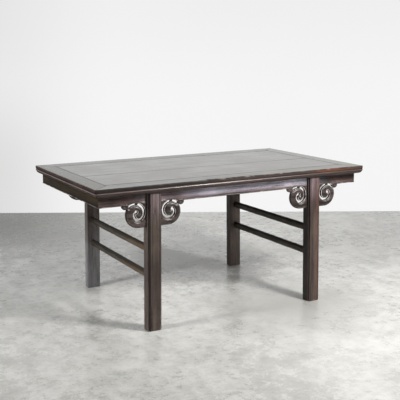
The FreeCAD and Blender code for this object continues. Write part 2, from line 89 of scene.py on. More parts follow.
right, up, forward = camera_axes(CAMERA_TURN, CAMERA_DIP, CAMERA_ROLL)
camera = bpy.data.objects.new("camera", bpy.data.cameras.new("camera"))
camera.data.lens, camera.data.sensor_width = 69.09, 36.0
camera.data.shift_x = 0.0254
placed = Matrix(np.stack([right, up, -forward], 1).tolist()).to_4x4()
placed.translation = CAMERA_PLACE
camera.matrix_world = placed
bpy.context.scene.collection.objects.link(camera)
bpy.context.scene.camera = camera
bpy.context.scene.view_settings.view_transform = "Standard"
print("camera turned %.1f and dipped %.1f degrees" % tuple(np.degrees([CAMERA_TURN, CAMERA_DIP])))

# %% [markdown]
# ## Shader maths
# A finish is mostly arithmetic on patterns: more wear here, less shine there. Nodes could
# be linked by hand one at a time, but then the formula can't be read. So a socket is
# wrapped in a small class, and each plus or times adds the Math node that does it.

# %% A socket that can be reckoned with
class Shade:
    """A number that varies over a surface. Each operator adds one Math node."""

    def __init__(self, finish, socket):
        self.finish, self.socket = finish, socket

    def maths(self, operation, first, second):
        return self.finish.add("Math", {"operation": operation}, {0: first, 1: second})

    def __add__(self, other):
        return self.maths("ADD", self, other)

    def __sub__(self, other):
        return self.maths("SUBTRACT", self, other)

    def __rsub__(self, other):
        return self.maths("SUBTRACT", other, self)

    def __mul__(self, other):
        return self.maths("MULTIPLY", self, other)

    __radd__, __rmul__ = __add__, __mul__


# %% A finish and its nodes
class Finish:
    """A material while it is being written."""

    def __init__(self, name):
        self.material = bpy.data.materials.new(name)
        self.material.use_nodes = True
        self.nodes, self.links = self.material.node_tree.nodes, self.material.node_tree.links
        self.shader = self.nodes["Principled BSDF"]
        self.place = self.add("TexCoord", {}, {}, "Object")

    def add(self, kind, settings, inputs, out=0):
        """A node of a kind: its settings first, then the value or link of each socket."""
        node = self.nodes.new("ShaderNode" + kind)
        for key, value in settings.items():
            setattr(node, key, value)
        self.plug(node, inputs)
        return Shade(self, node.outputs[out])

    def plug(self, node, inputs):
        for key, value in inputs.items():
            if isinstance(value, Shade):
                self.links.new(value.socket, node.inputs[key])
            else:
                node.inputs[key].default_value = value

    def maths_abs(self, value):
        """The size of a number without its sign."""
        return self.add("Math", {"operation": "ABSOLUTE"}, {0: value})

    def blend(self, share, first, second):
        """One colour turning into another by a share from 0 to 1."""
        return self.add("Mix", {"data_type": "RGBA"}, {0: share, 6: first, 7: second}, 2)

    def rise(self, value, low, high):
        """0 below low, 1 above high, and a smooth step between."""
        return self.add("MapRange", {"interpolation_type": "SMOOTHSTEP"}, {0: value, 1: low, 2: high})

    def speckle(self, stretch, detail=4.0, roughness=0.55, shift=(0.0, 0.0, 0.0)):
        """Noise with so many blotches to the metre along each axis."""
        spread = self.add("Mapping", {}, {"Vector": self.place, "Location": shift, "Scale": stretch})
        inputs = {"Vector": spread, "Scale": 1.0, "Detail": detail, "Roughness": roughness}
        return self.add("TexNoise", {}, inputs)

    def near(self, spot, radius):
        """1 at a spot, falling smoothly to 0 at the radius."""
        away = self.add("VectorMath", {"operation": "DISTANCE"}, {0: self.place, 1: spot}, "Value")
        return 1 - self.rise(away, 0.0, radius)

    def along(self, axis):
        """The coordinate of the place along X, Y or Z."""
        return self.add("SeparateXYZ", {}, {0: self.place}, axis)

    def past(self, axis, low, high):
        """0 below low on an axis, 1 beyond high, and a smooth step between."""
        return self.rise(self.along(axis), low, high)

    def before(self, axis, low, high):
        """What past leaves: 1 below low on an axis and 0 beyond high."""
        return 1 - self.past(axis, low, high)

    def mark(self, name):
        """A number that the piece's own mesh carries at each point."""
        return self.add("Attribute", {"attribute_name": name}, {}, "Fac")


def tone(red, green, blue):
    return (red, green, blue, 1.0)


print("shader maths ready")

# %% [markdown]
# ## The room
# The table stands on a pale concrete floor in front of a white wall, lit by a large soft
# lamp at the front right and a weaker one at the left. The wall shows at full strength to
# the camera and in reflections only, so the white comes from its colour and no extra light
# falls on the table. Seen from behind, it is clear, so it never hides the table's back.

# %% Put a mesh in the scene
def hold(name, points, faces):
    """A mesh object at the origin, from an array of points and a list of corner numbers."""
    mesh = bpy.data.meshes.new(name)
    mesh.from_pydata(np.asarray(points, float).reshape(-1, 3).tolist(), [], faces)
    made = bpy.data.objects.new(name, mesh)
    bpy.context.scene.collection.objects.link(made)
    return made


def paint(made, finish):
    made.data.materials.clear()
    made.data.materials.append(finish.material)
    return made


# %% Floor
FLOOR_REACH = 9.0
AROUND = ((-1, -1), (1, -1), (1, 1), (-1, 1))
floor = hold("floor", [(x * FLOOR_REACH, y * FLOOR_REACH, 0) for x, y in AROUND], [(0, 1, 2, 3)])
floor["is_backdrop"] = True


def concrete():
    """Pale ground concrete: broad clouds, stains in three sizes, small dark spots and grit.
    Over it lies painted light and shade: paler at the back and in a pool in front, darker in
    front and beside the right front leg, a dark ragged patch under the back of the table
    that is a painted shadow of it, and a painted shadow at the far left."""
    finish = Finish("floor_concrete")
    cloud = finish.speckle((1.0, 1.0, 1.0), 4.0, 0.6)
    blot = finish.speckle((3.6, 3.0, 1.0), 8.0, 0.68, (1.7, 8.4, 0.0))
    stain = finish.speckle((11.0, 9.0, 1.0), 10.0, 0.75, (5.2, 1.3, 0.0))
    vein = finish.speckle((24.0, 34.0, 1.0), 6.0, 0.7, (2.9, 6.3, 0.0))
    grit = finish.speckle((90.0, 90.0, 90.0), 3.0, 0.6)
    lightness = finish.rise(cloud * 0.15 + blot * 0.22 + stain * 0.33 + vein * 0.19 + grit * 0.11, 0.39, 0.61)
    pale = finish.blend(lightness, tone(0.35, 0.347, 0.325), tone(0.82, 0.817, 0.792))
    spots = finish.rise(vein * 0.7 + stain * 0.3, 0.58, 0.68)
    pale = finish.blend(spots * 0.6, pale, tone(0.22, 0.215, 0.195))
    x, y = finish.along("X"), finish.along("Y")
    across = x * math.cos(CAMERA_TURN) - y * math.sin(CAMERA_TURN)
    ahead = x * math.sin(CAMERA_TURN) + y * math.cos(CAMERA_TURN)
    # Painted light: paler at the back, and a pale pool in front of the table.
    far_painted_light = finish.rise(ahead, 1.1, 1.6) * finish.rise(across, -1.3, -0.3) * 0.2
    pale_painted_light = far_painted_light + finish.near((0.0, -1.4, 0.0), 0.8) * 0.25
    pale = finish.blend(pale_painted_light, pale, tone(0.86, 0.855, 0.83))
    # Painted shade: darker in front, and a painted shadow beside the right front leg.
    front_painted_shade = (1 - finish.rise(ahead, -0.9, 0.5)) * 0.4 + finish.near((0.42, -0.45, 0.0), 0.75) * 0.7
    pale = finish.blend(front_painted_shade, pale, tone(0.36, 0.357, 0.335))
    # A painted shadow of the table: a dark ragged patch under its back.
    wobble = (stain - 0.5) * 0.5
    ragged = ahead + wobble
    behind = finish.rise(ragged, 0.48, 0.66) * (1 - finish.rise(ragged, 1.18, 1.34))
    patch_painted_shadow = (1 - finish.rise(x + 0.28 * y + wobble, 0.62, 0.78)) * behind
    pale = finish.blend(patch_painted_shadow * finish.rise(across, -0.6, -0.35) * 0.8, pale, tone(0.22, 0.218, 0.205))
    # A painted shadow at the far left of the floor.
    far_left = (1 - finish.rise(across, -1.7, -0.3)) * finish.rise(ahead, 0.7, 1.9)
    colour = finish.blend(far_left * 0.95, pale, tone(0.165, 0.165, 0.148))
    bump = finish.add("Bump", {}, {"Strength": 0.25, "Distance": 0.002, "Height": stain + grit * 0.4})
    roughness = finish.rise(cloud * 0.5 + stain * 0.5, 0.3, 0.7) * 0.2 + 0.2
    finish.plug(finish.shader, {"Base Color": colour, "Normal": bump, "Roughness": roughness})
    finish.plug(finish.shader, {"Specular IOR Level": 0.4})
    return finish


paint(floor, concrete())
print("floor reaches %.0f m each way" % FLOOR_REACH)

# %% Wall
WALL_BEHIND = 7.41
wall_across = np.array([math.cos(CAMERA_TURN), -math.sin(CAMERA_TURN), 0.0])
wall_ahead = np.array([math.sin(CAMERA_TURN), math.cos(CAMERA_TURN), 0.0])
wall_middle = np.array([CAMERA_PLACE[0], CAMERA_PLACE[1], 0.0]) + WALL_BEHIND * wall_ahead
wall_corners = [
    wall_middle + wall_across * side + np.array([0, 0, height])
    for side, height in ((-6, 0), (6, 0), (6, 5), (-6, 5))
]
wall = hold("wall", wall_corners, [(0, 1, 2, 3)])
wall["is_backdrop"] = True


def shown_ray(finish):
    """1 for rays that show the background: those of the camera, of gloss and of glass."""
    seen = finish.add("LightPath", {}, {}, "Is Camera Ray")
    node = seen.socket.node
    for name in ("Is Glossy Ray", "Is Transmission Ray"):
        seen = seen.maths("MAXIMUM", seen, Shade(finish, node.outputs[name]))
    return seen


def wall_white():
    """A white wall that lights nothing: it glows only for rays that show the background,
    is plain paint for the others, and lets every ray through from behind."""
    finish = Finish("wall_white")
    product = {0: finish.place, 1: tuple(wall_across)}
    across = finish.add("VectorMath", {"operation": "DOT_PRODUCT"}, product, "Value")
    to_left, height = float(wall_middle @ wall_across) - across, finish.along("Z")
    # Painted shade: the wall darkens to the left and towards the top, and a painted shadow darkens its lower
    # left corner.
    falloff = 0.10 * finish.rise(to_left, 0.6, 2.2) + 0.05 * finish.rise(height, 1.0, 2.2)
    corner = 0.10 * finish.rise(to_left, 1.0, 1.9) * (1 - finish.rise(height, 0.4, 1.4))
    plaster = finish.speckle((0.8, 0.8, 0.8), 3.0, 0.5)
    white = finish.blend(0.90 - falloff - corner + 0.03 * plaster, tone(0.0, 0.0, 0.0), tone(1.0, 1.0, 1.0))
    glow = finish.add("Emission", {}, {"Color": white, "Strength": 1.0})
    matt = finish.add("BsdfDiffuse", {}, {"Color": tone(0.75, 0.75, 0.75)})
    front = finish.add("MixShader", {}, {0: shown_ray(finish), 1: matt, 2: glow})
    behind = finish.add("NewGeometry", {}, {}, "Backfacing")
    clear = finish.add("BsdfTransparent", {}, {})
    whole = finish.add("MixShader", {}, {0: behind, 1: front, 2: clear})
    finish.nodes.remove(finish.shader)
    finish.links.new(whole.socket, finish.nodes["Material Output"].inputs["Surface"])
    return finish


paint(wall, wall_white())
print("wall stands %.2f m from the camera" % WALL_BEHIND)

# %% Daylight from all round
world = bpy.data.worlds.new("studio")
bpy.context.scene.world = world
world.use_nodes = True
sky = world.node_tree.nodes["Background"]
sky.inputs["Color"].default_value = (0.97, 0.985, 1.0, 1.0)
sky.inputs["Strength"].default_value = 0.10
print("daylight at", round(sky.inputs["Strength"].default_value, 2))


# %% Lamps
def lamp(name, place, aim, width, height, watts, colour):
    """A soft rectangular lamp whose face looks from its place to its aim."""
    light = bpy.data.lights.new(name, "AREA")
    light.shape, light.size, light.size_y = "RECTANGLE", width, height
    light.energy, light.color = watts, colour
    made = bpy.data.objects.new(name, light)
    away = (Vector(place) - Vector(aim)).to_track_quat("Z", "Y")
    made.matrix_world = Matrix.LocRotScale(Vector(place), away, None)
    bpy.context.scene.collection.objects.link(made)


lamp("lamp_key", (0.87, -2.0, 2.15), (0.1, 0.1, 0.4), 0.45, 0.45, 86.0, (1.0, 0.99, 0.97))
lamp("lamp_window", (4.0, -5.0, 3.0), (0.0, 0.0, 0.2), 2.6, 2.2, 85.0, (1.0, 1.0, 1.0))
lamp("lamp_left", (-5.0, -0.4, 2.4), (0.0, 0.0, 0.5), 0.8, 0.8, 185.0, (1.0, 1.0, 1.0))
print("three lamps")

# %% [markdown]
# ## Uneven wood
# No edge on an old table is straight: it is rubbed, dented and nicked. A displacement
# texture could do this at render time, but then the worn edge isn't in the mesh. Here the
# unevenness is worked out at every point with a few seeded waves, so it is the same each time.

# %% Waves and nicks
MM = 0.001


def ripple(points, waves, seed, count=20):
    """A smooth uneven field of about -1 to 1: the sum of sines of place times direction plus
    phase, over the root of twice their number. Waves is how many there are to the metre."""
    chance = np.random.default_rng(seed)
    directions = chance.normal(size=(3, count)) * np.reshape(waves, (-1, 1)) * 2 * np.pi
    phases = chance.uniform(0, 2 * np.pi, count)
    return np.sin(points @ directions + phases).sum(-1) / math.sqrt(2 * count)


def ridge(value, middle, width):
    """exp(-((value - middle) / width)²): 1 on the middle, falling away on both sides."""
    return np.exp(-(((value - middle) / width) ** 2))


def nicks(run, reach, count, seed):
    """Dents along an edge: the sum over the dents of depth times exp of minus the squared
    distance to the dent over its width. Depths are 0.2 to 1, the deep ones rare."""
    chance = np.random.default_rng(seed)
    places, widths = chance.uniform(-reach, reach, count), chance.uniform(3, 16, count) * MM
    depths = 0.2 + 0.8 * chance.random(count) ** 3
    return (depths * ridge(run[..., None], places, widths)).sum(-1)


def step(value, low, high):
    """0 below low, 1 above high, and 3t² - 2t³ between."""
    share = np.clip((value - low) / (high - low), 0, 1)
    return share * share * (3 - 2 * share)


print("uneven by", ripple(np.zeros((1, 3)), 5.0, 3).round(3))


# %% Faces between the rows of a grid
def woven(rows, columns, closed=True):
    """Corner numbers of the quads of a grid. When it is closed, the last column meets the first."""
    here = np.arange(columns if closed else columns - 1)
    after = (here + 1) % columns
    row = np.arange(rows - 1)[:, None] * columns
    return np.stack([row + here, row + after, row + columns + after, row + columns + here], -1).reshape(-1, 4)


def volume(points, quads):
    """Six times the volume inside the quads: the sum of triple products of their triangles."""
    a, b, c, d = (points[quads[:, i]] for i in range(4))
    return (np.cross(a, b) * c).sum() + (np.cross(a, c) * d).sum()


def piece(name, points, quads, ends=(), marks=None, sharp=38.0, instead_of=()):
    """A piece of the table: quads and end faces turned outwards, numbers at each point,
    smooth but for the sharp edges, riding on the table in the place of its solids."""
    points = np.asarray(points, float).reshape(-1, 3)
    inside_out = volume(points, quads) < 0
    faces = (quads[:, ::-1] if inside_out else quads).tolist()
    faces += [list(end)[::-1] if inside_out else list(end) for end in ends]
    made = hold(name, points, faces)
    for key, values in (marks or {}).items():
        layer = made.data.attributes.new(key, "FLOAT", "POINT")
        layer.data.foreach_set("value", np.clip(np.ravel(values), 0, 1).astype(np.float32))
    made.data.shade_smooth()
    made.data.set_sharp_from_angle(angle=math.radians(sharp))
    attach(made, "root")
    if instead_of:
        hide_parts(*instead_of)
    print("%s: %d points, %d faces" % (name, len(points), len(faces)))
    return made


def carried(name, points, wear, hollow, sharp, instead_of=()):
    """A piece whose rows are one closed profile carried along it, with a face at each end."""
    rows, columns = points.shape[:2]
    first = np.arange(columns)
    ends, marks = [first[::-1], first + (rows - 1) * columns], {"wear": wear, "hollow": hollow}
    return piece(name, points, woven(rows, columns), ends, marks, sharp, instead_of)


# %% [markdown]
# ## The top frame
# Four planks make the frame of the top, mitred at the corners. Their outer edge is moulded:
# an upright band, a hollow, a bead, and a long undercut. Each plank could be a bevelled box
# with the moulding cut in, but a moulded edge is a profile drawn along a line, as a moulding
# plane does it, so the profile is written once and carried along each side. The arris is
# rubbed and nicked, most of all at the front, and the four corners are blunted.

# %% Profile of the frame
TOP, HALF_LENGTH, HALF_DEPTH = 840 * MM, 900 * MM, 523 * MM
LONG_WIDTH, END_WIDTH = 119 * MM, 100 * MM
FACE, BAND_FOOT, COVE_FOOT, BEAD_FOOT, FRAME_FOOT = 840, 824, 818.5, 809, 791
ARRIS, COVE_INSET, BEAD_INSET, UNDERCUT_INSET, EASED_EDGE = 4, 3, 4, 25.5, 1.2
GROOVE_FOOT, GROOVE_TOP, GROOVE_REACH = 828, 835.2, 10


def bow(p, q, rise, count):
    """Points from p towards q, q itself left out: the straight run plus 4·rise·t·(1 - t)
    at right angles to it."""
    p, q = np.array(p, float), np.array(q, float)
    share = np.linspace(0, 1, count, endpoint=False)[:, None]
    run = q - p
    square = np.array([run[1], -run[0]]) / np.hypot(*run)
    return p + share * run + 4 * rise * share * (1 - share) * square


def round_corner(p, corner, q, count):
    """Points of a quarter turn from p to q, q left out: centre + (p - centre)·cos + (q -
    centre)·sin, where the centre is p + q - corner."""
    p, corner, q = (np.array(v, float) for v in (p, corner, q))
    turn = np.linspace(0, math.pi / 2, count, endpoint=False)[:, None]
    centre = p + q - corner
    return centre + (p - centre) * np.cos(turn) + (q - centre) * np.sin(turn)


def frame_profile(width):
    """Inset and height of the plank's outline in millimetres, once round: over the top, down
    the moulded edge, under the plank and up the grooved inner face."""
    groove = width - GROOVE_REACH
    parts = [
        bow((width - EASED_EDGE, FACE), (8, FACE), 0, 22),
        bow((8, FACE), (ARRIS, FACE), 0, 4),
        round_corner((ARRIS, FACE), (0, FACE), (0, FACE - ARRIS), 8),
        bow((0, FACE - ARRIS), (0, BAND_FOOT), 0, 7),
        bow((0, BAND_FOOT), (COVE_INSET, COVE_FOOT), -1.2, 7),
        bow((COVE_INSET, COVE_FOOT), (BEAD_INSET, BEAD_FOOT), 3.4, 12),
        bow((BEAD_INSET, BEAD_FOOT), (UNDERCUT_INSET, FRAME_FOOT), 5.0, 12),
        bow((UNDERCUT_INSET, FRAME_FOOT), (width, FRAME_FOOT), 0, 6),
        bow((width, FRAME_FOOT), (width, GROOVE_FOOT), 0, 2),
        bow((width, GROOVE_FOOT), (groove, GROOVE_FOOT), 0, 1),
        bow((groove, GROOVE_FOOT), (groove, GROOVE_TOP), 0, 1),
        bow((groove, GROOVE_TOP), (width, GROOVE_TOP), 0, 1),
        bow((width, GROOVE_TOP), (width, FACE - EASED_EDGE), 0, 1),
        bow((width, FACE - EASED_EDGE), (width - EASED_EDGE, FACE), 0.2, 4),
    ]
    return np.concatenate(parts) * MM


print("points round the frame's profile:", len(frame_profile(119)))


# %% Planks of the frame
def plank(name, width, half_run, half_cross, quarter_turns, seed):
    """The profile carried along one side: place along is share · (half run - inset), which
    makes the mitre, and the whole is turned by quarter turns about Z."""
    inset, height = frame_profile(width / MM).T
    rows = round(2 * half_run / (4 * MM))
    share = np.linspace(-1, 1, rows)[:, None]
    run = share * (half_run - np.minimum(inset, END_WIDTH) - 0.12 * MM)
    cross = np.broadcast_to(inset - half_cross, run.shape)
    points = np.stack([run, cross, np.broadcast_to(height, run.shape)], -1)
    for _ in range(quarter_turns):
        points = np.stack([-points[..., 1], points[..., 0], points[..., 2]], -1)
    along, at_front = points[..., 0], quarter_turns == 0
    from_arris = np.hypot(inset, TOP - height)
    rubbed = 0.35 + 0.25 * ripple(points, 5.0, seed) + 0.15 * ripple(points, 22.0, seed + 1)
    rubbed = rubbed + 1.2 * nicks(run, half_run, round(half_run / (24 * MM)), seed + 2)
    front_middle = step(along, -0.3, -0.22) * (1 - step(along, 0.05, 0.16)) * at_front
    rubbed = np.clip(rubbed + 0.8 * front_middle, 0, 1.8)
    depth = rubbed * ridge(from_arris, 0, 4.5 * MM) * MM
    inward = -np.sign(points[..., :2]) * (np.arange(2) == (1 + quarter_turns) % 2)
    points[..., :2] += inward * depth[..., None] * 0.7
    points[..., 2] -= depth * 0.7
    from_corner = np.hypot(HALF_LENGTH - abs(points[..., 0]), HALF_DEPTH - abs(points[..., 1]))
    blunt = 2.2 * MM * np.clip(1 - from_corner / (9 * MM), 0, 1) ** 2
    points[..., :2] -= np.sign(points[..., :2]) * blunt[..., None]
    flat = (height > TOP - 0.1 * MM) * step(inset, 6 * MM, 36 * MM)
    points[..., 2] -= flat * (0.2 + 0.12 * ripple(points, (2.5, 2.5, 0), 11)).clip(0.02) * MM
    wear = ridge(from_arris, 0, 3.2 * MM) * (0.25 + 0.5 * rubbed)
    # The bead of the moulding is painted lighter, most in the front middle: a painted highlight over its
    # wear.
    bead = ridge(height, 813.5 * MM, 3.0 * MM) * (inset < 8 * MM)
    bead_glint_and_rub = 0.42 + 0.3 * ripple(points, 9.0, seed + 5) + 0.35 * front_middle
    wear = wear + bead * bead_glint_and_rub + 0.8 * step(blunt, 0, 2 * MM)
    seam = (1 - step(half_run - np.minimum(inset, END_WIDTH) - abs(run), 0, 1.8 * MM)) * 0.9
    inner = step(inset, width - 4.5 * MM, width - 1.0 * MM) * (0.5 if quarter_turns % 2 else 1.0)
    # The cove is painted dark as a hollow: painted shade in the recess.
    cove = ridge(height, 821.2 * MM, 2.4 * MM) * (inset < 5 * MM)
    chips = step(ripple(points, (15, 2, 0), seed + 7), -0.7, 0.2) * (0.7 + 0.3 * front_middle) * at_front
    reach = (4 + (6 + 16 * front_middle) * chips) * MM
    dirt = chips * (1 - step(inset, 0.6 * reach, reach)) * step(height, TOP - 10 * MM, TOP - 6 * MM)
    left_band = (1 - step(along, -0.4, -0.05)) * (height > BAND_FOOT * MM)
    right_foot = step(along, 0.2, 0.5) * (height < 820 * MM)
    wear = wear * (1 - dirt) * (1 - 0.85 * np.maximum(left_band, right_foot) * at_front)
    hollow = np.maximum(np.maximum(inner, cove * 0.85), np.maximum(seam, dirt))
    return carried("plank_" + name, points, wear, hollow, 50.0, ["top_frame_" + name])


planks = [
    plank("front", LONG_WIDTH, HALF_LENGTH, HALF_DEPTH, 0, 21),
    plank("right", END_WIDTH, HALF_DEPTH, HALF_LENGTH, 1, 31),
    plank("back", LONG_WIDTH, HALF_LENGTH, HALF_DEPTH, 2, 41),
    plank("left", END_WIDTH, HALF_DEPTH, HALF_LENGTH, 3, 51),
]

# %% [markdown]
# ## The two boards
# The panel isn't glued to the frame. Its boards have a tongue that sits loose in the
# frame's groove, so the wood can swell, and a dark gap runs all round and between the
# boards. A board could be a thin box, but the loops that leave its border give it the eased
# edge, the tongue and the closed underside in one surface. Its face waves a little.

# %% Boards of the panel
PANEL_GAP, BOARD_JOINT, HALF_JOINT = 1.6 * MM, -58 * MM, 0.3 * MM
TONGUE_TOP, TONGUE_FOOT, PANEL_FOOT, END_TONGUE = 835, 828, 823, 9


def edged(low, high, pace):
    """Places from low to high: close together in the first and last few millimetres, where
    the edge is eased, and about a pace apart between."""
    ease = np.array([0, 0.4, 0.9, 1.6, 3.0, 5.0]) * MM
    between = np.linspace(low + 8 * MM, high - 8 * MM, round((high - low) / pace))
    return np.concatenate([low + ease, between, (high - ease)[::-1]])


def board(name, low_y, high_y, reaches, seed):
    """The face is a grid whose height is the top, less the eased edge and a slow wave. The
    border is then carried out by each reach (front, back) for the tongue or groove, and down."""
    half_x = HALF_LENGTH - END_WIDTH - PANEL_GAP
    x, y = np.meshgrid(edged(-half_x, half_x, 6 * MM), edged(low_y, high_y, 6 * MM), indexing="ij")
    to_edge = np.minimum(half_x - abs(x), np.minimum(y - low_y, high_y - y))
    face = np.stack([x, y, np.full_like(x, TOP)], -1)
    eased = 0.9 * np.clip(1 - to_edge / (1.6 * MM), 0, 1) ** 2
    waved = 0.25 + 0.16 * ripple(face, (1.2, 3.5, 0), seed) + 0.07 * ripple(face, (3.0, 14.0, 0), seed + 1)
    face[..., 2] -= (eased + waved.clip(0.02)) * MM
    border = np.concatenate([face[:-1, 0], face[-1, :-1], face[:0:-1, -1], face[0, :0:-1]])
    rows, columns = x.shape
    number = np.arange(rows * columns).reshape(rows, columns)
    ring = np.concatenate([number[:-1, 0], number[-1, :-1], number[:0:-1, -1], number[0, :0:-1]])
    on_end = abs(border[:, 0]) > half_x - 0.01 * MM
    on_low, on_high = border[:, 1] < low_y + 0.01 * MM, border[:, 1] > high_y - 0.01 * MM
    sideways = np.where(on_low, -reaches[0], np.where(on_high, reaches[1], 0))
    outward = np.stack([END_TONGUE * np.sign(border[:, 0]) * on_end, sideways], -1)
    loops = [border]
    steps = ((0, TONGUE_TOP), (1, TONGUE_TOP), (1, TONGUE_FOOT), (0, TONGUE_FOOT), (0, PANEL_FOOT))
    for share, height in steps:
        loop = border.copy()
        loop[:, :2] += outward * share * MM
        loop[:, 2] = height * MM
        loops.append(loop)
    points = np.concatenate([face.reshape(-1, 3)] + loops[1:])
    numbers = [ring] + [rows * columns + len(ring) * i + np.arange(len(ring)) for i in range(5)]
    sides = [np.stack([a, np.roll(a, -1), np.roll(b, -1), b], -1) for a, b in zip(numbers, numbers[1:])]
    edge = to_edge.ravel()
    beside_end = np.where(half_x - abs(x.ravel()) < 5 * MM, 0.5, 1.0)
    hollow = np.concatenate([(1 - step(edge, 0.8 * MM, 4.2 * MM)) * beside_end, np.ones(5 * len(ring))])
    rub = step(ripple(face, (3.0, 10.0, 0), seed + 4), 0.4, 1.3) * step(edge.reshape(x.shape), 4 * MM, 9 * MM)
    wear = np.concatenate([0.3 * rub.ravel(), np.zeros(5 * len(ring))])
    quads = np.concatenate([woven(rows, columns, False)] + sides)
    marks, solid = {"wear": wear, "hollow": hollow}, ["top_board_" + name]
    return piece("board_" + name, points, quads, [numbers[-1]], marks, 50.0, solid)


opening_y = HALF_DEPTH - LONG_WIDTH - PANEL_GAP
boards = [
    board("front", -opening_y, BOARD_JOINT - HALF_JOINT, (9, 8), 61),
    board("back", BOARD_JOINT + HALF_JOINT, opening_y, (-9, 9), 71),
]

# %% [markdown]
# ## The legs
# A leg is a squared post with notched outer corners. Each notch leaves two small rounded
# beads, and a shallow groove beside the bead sets off a face that swells very slightly. The
# legs lean outwards both ways, so the profile is carried up a leaning line and not turned.
# Beads are where hands and brooms rub, so they are the most worn, and the feet are scuffed.

# %% Profile of a leg
LEG_WIDTH, LEG_DEPTH, LEG_LEAN = 85, 62, (12.5 * MM, 6.5 * MM)
LEG_INSET = 315.5, 26
LEG_OUTER_X = HALF_LENGTH - LEG_INSET[0] * MM + LEG_LEAN[0]
LEG_OUTER_Y = HALF_DEPTH - LEG_INSET[1] * MM + LEG_LEAN[1]
NOTCH, BEAD_REACH, FIELD_START, BEAD_SUNK, CROWN, EASED = 8, 15, 18, 2.2, 0.9, 3
CORNERS = (("front_left", -1, -1), ("front_right", 1, -1), ("back_left", -1, 1), ("back_right", 1, 1))


def leg_profile():
    """Millimetres in from the outer side and from the outer face, once round. One half is
    written, and the other is its mirror image in reverse order."""
    half = np.concatenate([
        bow((LEG_WIDTH / 2, LEG_DEPTH), (EASED, LEG_DEPTH), 0, 6),
        round_corner((EASED, LEG_DEPTH), (0, LEG_DEPTH), (0, LEG_DEPTH - EASED), 5),
        bow((0, LEG_DEPTH - EASED), (0, FIELD_START), 0, 8),
        bow((0, FIELD_START), (BEAD_SUNK, BEAD_REACH), 0, 2),
        bow((BEAD_SUNK, BEAD_REACH), (BEAD_SUNK, NOTCH), BEAD_SUNK, 9),
        bow((BEAD_SUNK, NOTCH), (NOTCH, NOTCH), 0, 4),
        bow((NOTCH, NOTCH), (NOTCH, BEAD_SUNK), 0, 4),
        bow((NOTCH, BEAD_SUNK), (BEAD_REACH, BEAD_SUNK), BEAD_SUNK, 9),
        bow((BEAD_REACH, BEAD_SUNK), (FIELD_START, CROWN), 0, 2),
        bow((FIELD_START, CROWN), (LEG_WIDTH - FIELD_START, CROWN), CROWN, 12)[:7],
    ])[:-1]
    other = half[:0:-1] * (-1, 1) + (LEG_WIDTH, 0)
    return np.concatenate([half, [(LEG_WIDTH / 2, 0.0)], other])


print("points round a leg's profile:", len(leg_profile()))


# %% Legs
def shaded_groove(from_side, from_face, hollow, wear):
    """The left front leg: painted shade in a wide band of the groove, exp(-((side - 10.5) / 4.5)⁴) in
    millimetres, a scored line 26 mm in, and a less dark notch on its left side."""
    shade_band = np.exp(-(((from_side - 10.5 * MM) / (4.5 * MM)) ** 4)) * (from_face < 8.3 * MM)
    scored = 0.7 * ridge(from_side, 26 * MM, 2.5 * MM) * (from_face < 3 * MM)
    on_left = (from_side < 20 * MM) & (from_face > 0.5 * MM)
    lines = np.maximum(shade_band, scored)
    return np.maximum(np.where(on_left, 0.35, 1.0) * hollow, lines), wear * (1 - lines)


def leg(name, side_x, side_y, seed):
    """Each point of the profile moves inwards with height by lean · height / table height,
    and is drawn towards the middle by the rubbing and by the blunted foot."""
    section = leg_profile()
    foot_rows = np.array([0, 0.5, 1.2, 2.5, 4.5, 8.0])
    height = np.concatenate([foot_rows, np.linspace(12, FRAME_FOOT, 196)])[:, None] * MM
    from_side, from_face = section.T * MM
    depth_in = np.array([LEG_WIDTH, LEG_DEPTH]) / 2 * MM
    toward = np.stack([depth_in[0] - from_side, depth_in[1] - from_face], -1)
    toward = toward / np.hypot(*toward.T)[:, None]
    x = LEG_OUTER_X - LEG_LEAN[0] * height / TOP - from_side
    y = LEG_OUTER_Y - LEG_LEAN[1] * height / TOP - from_face
    points = np.stack([side_x * x, side_y * y, np.broadcast_to(height, x.shape)], -1)
    near_side = np.minimum(from_side, LEG_WIDTH * MM - from_side)
    to_corner = np.hypot(near_side, from_face)
    rubbed = 0.25 + 0.25 * ripple(points, (4, 4, 7), seed) + 0.12 * ripple(points, (30, 30, 40), seed + 1)
    dented = 0.3 + 0.7 * step(ripple(points, (9, 9, 2), seed + 3), -0.2, 0.4)
    rubbed = rubbed + nicks(height, TOP, 24, seed + 2) * dented
    scuffed = 0.5 * np.clip(1 - height / (60 * MM), 0, 1) * abs(ripple(points, (25, 25, 30), seed + 4))
    foot = np.clip(1 - height / (5 * MM), 0, 1) ** 2 * 2.0 + scuffed
    drawn = (np.clip(rubbed, 0.05, 1.1) * ridge(to_corner, 0, 9 * MM) * 0.8 + foot) * MM
    points[..., :2] -= drawn[..., None] * toward * (side_x, side_y)
    wear = ridge(to_corner, 11.7 * MM, 3.5 * MM) * (0.36 + 0.4 * rubbed)
    wear = wear + 0.6 * (1 - step(height, 0, 28 * MM)) * (0.6 + 0.5 * ripple(points, 20, seed + 6))
    # The notch and grooves are painted dark as hollows, painted shade, and a painted shadow falls where the
    # scroll board meets the side.
    notch = np.minimum(np.maximum(near_side, 0), NOTCH * MM) + np.minimum(from_face, NOTCH * MM)
    hollow = step(notch, 8.5 * MM, 11.0 * MM) * (np.maximum(near_side, from_face) < 8.2 * MM)
    face_groove = 0.7 * ridge(near_side, 16 * MM, 1.8 * MM) * (from_face < 3 * MM)
    shadow_by_board = ridge(from_face, 17.5 * MM, 3.0 * MM) * (near_side < 3 * MM) * step(height, 0.55, 0.62)
    hollow = np.maximum(hollow * (0.8 + 0.2 * step(height, 0.42, 0.62)), np.maximum(face_groove, shadow_by_board))
    if name == "front_left":
        hollow, wear = shaded_groove(from_side, from_face, hollow, wear)
    return carried("post_" + name, points, wear, hollow, 42.0, ["leg_" + name])


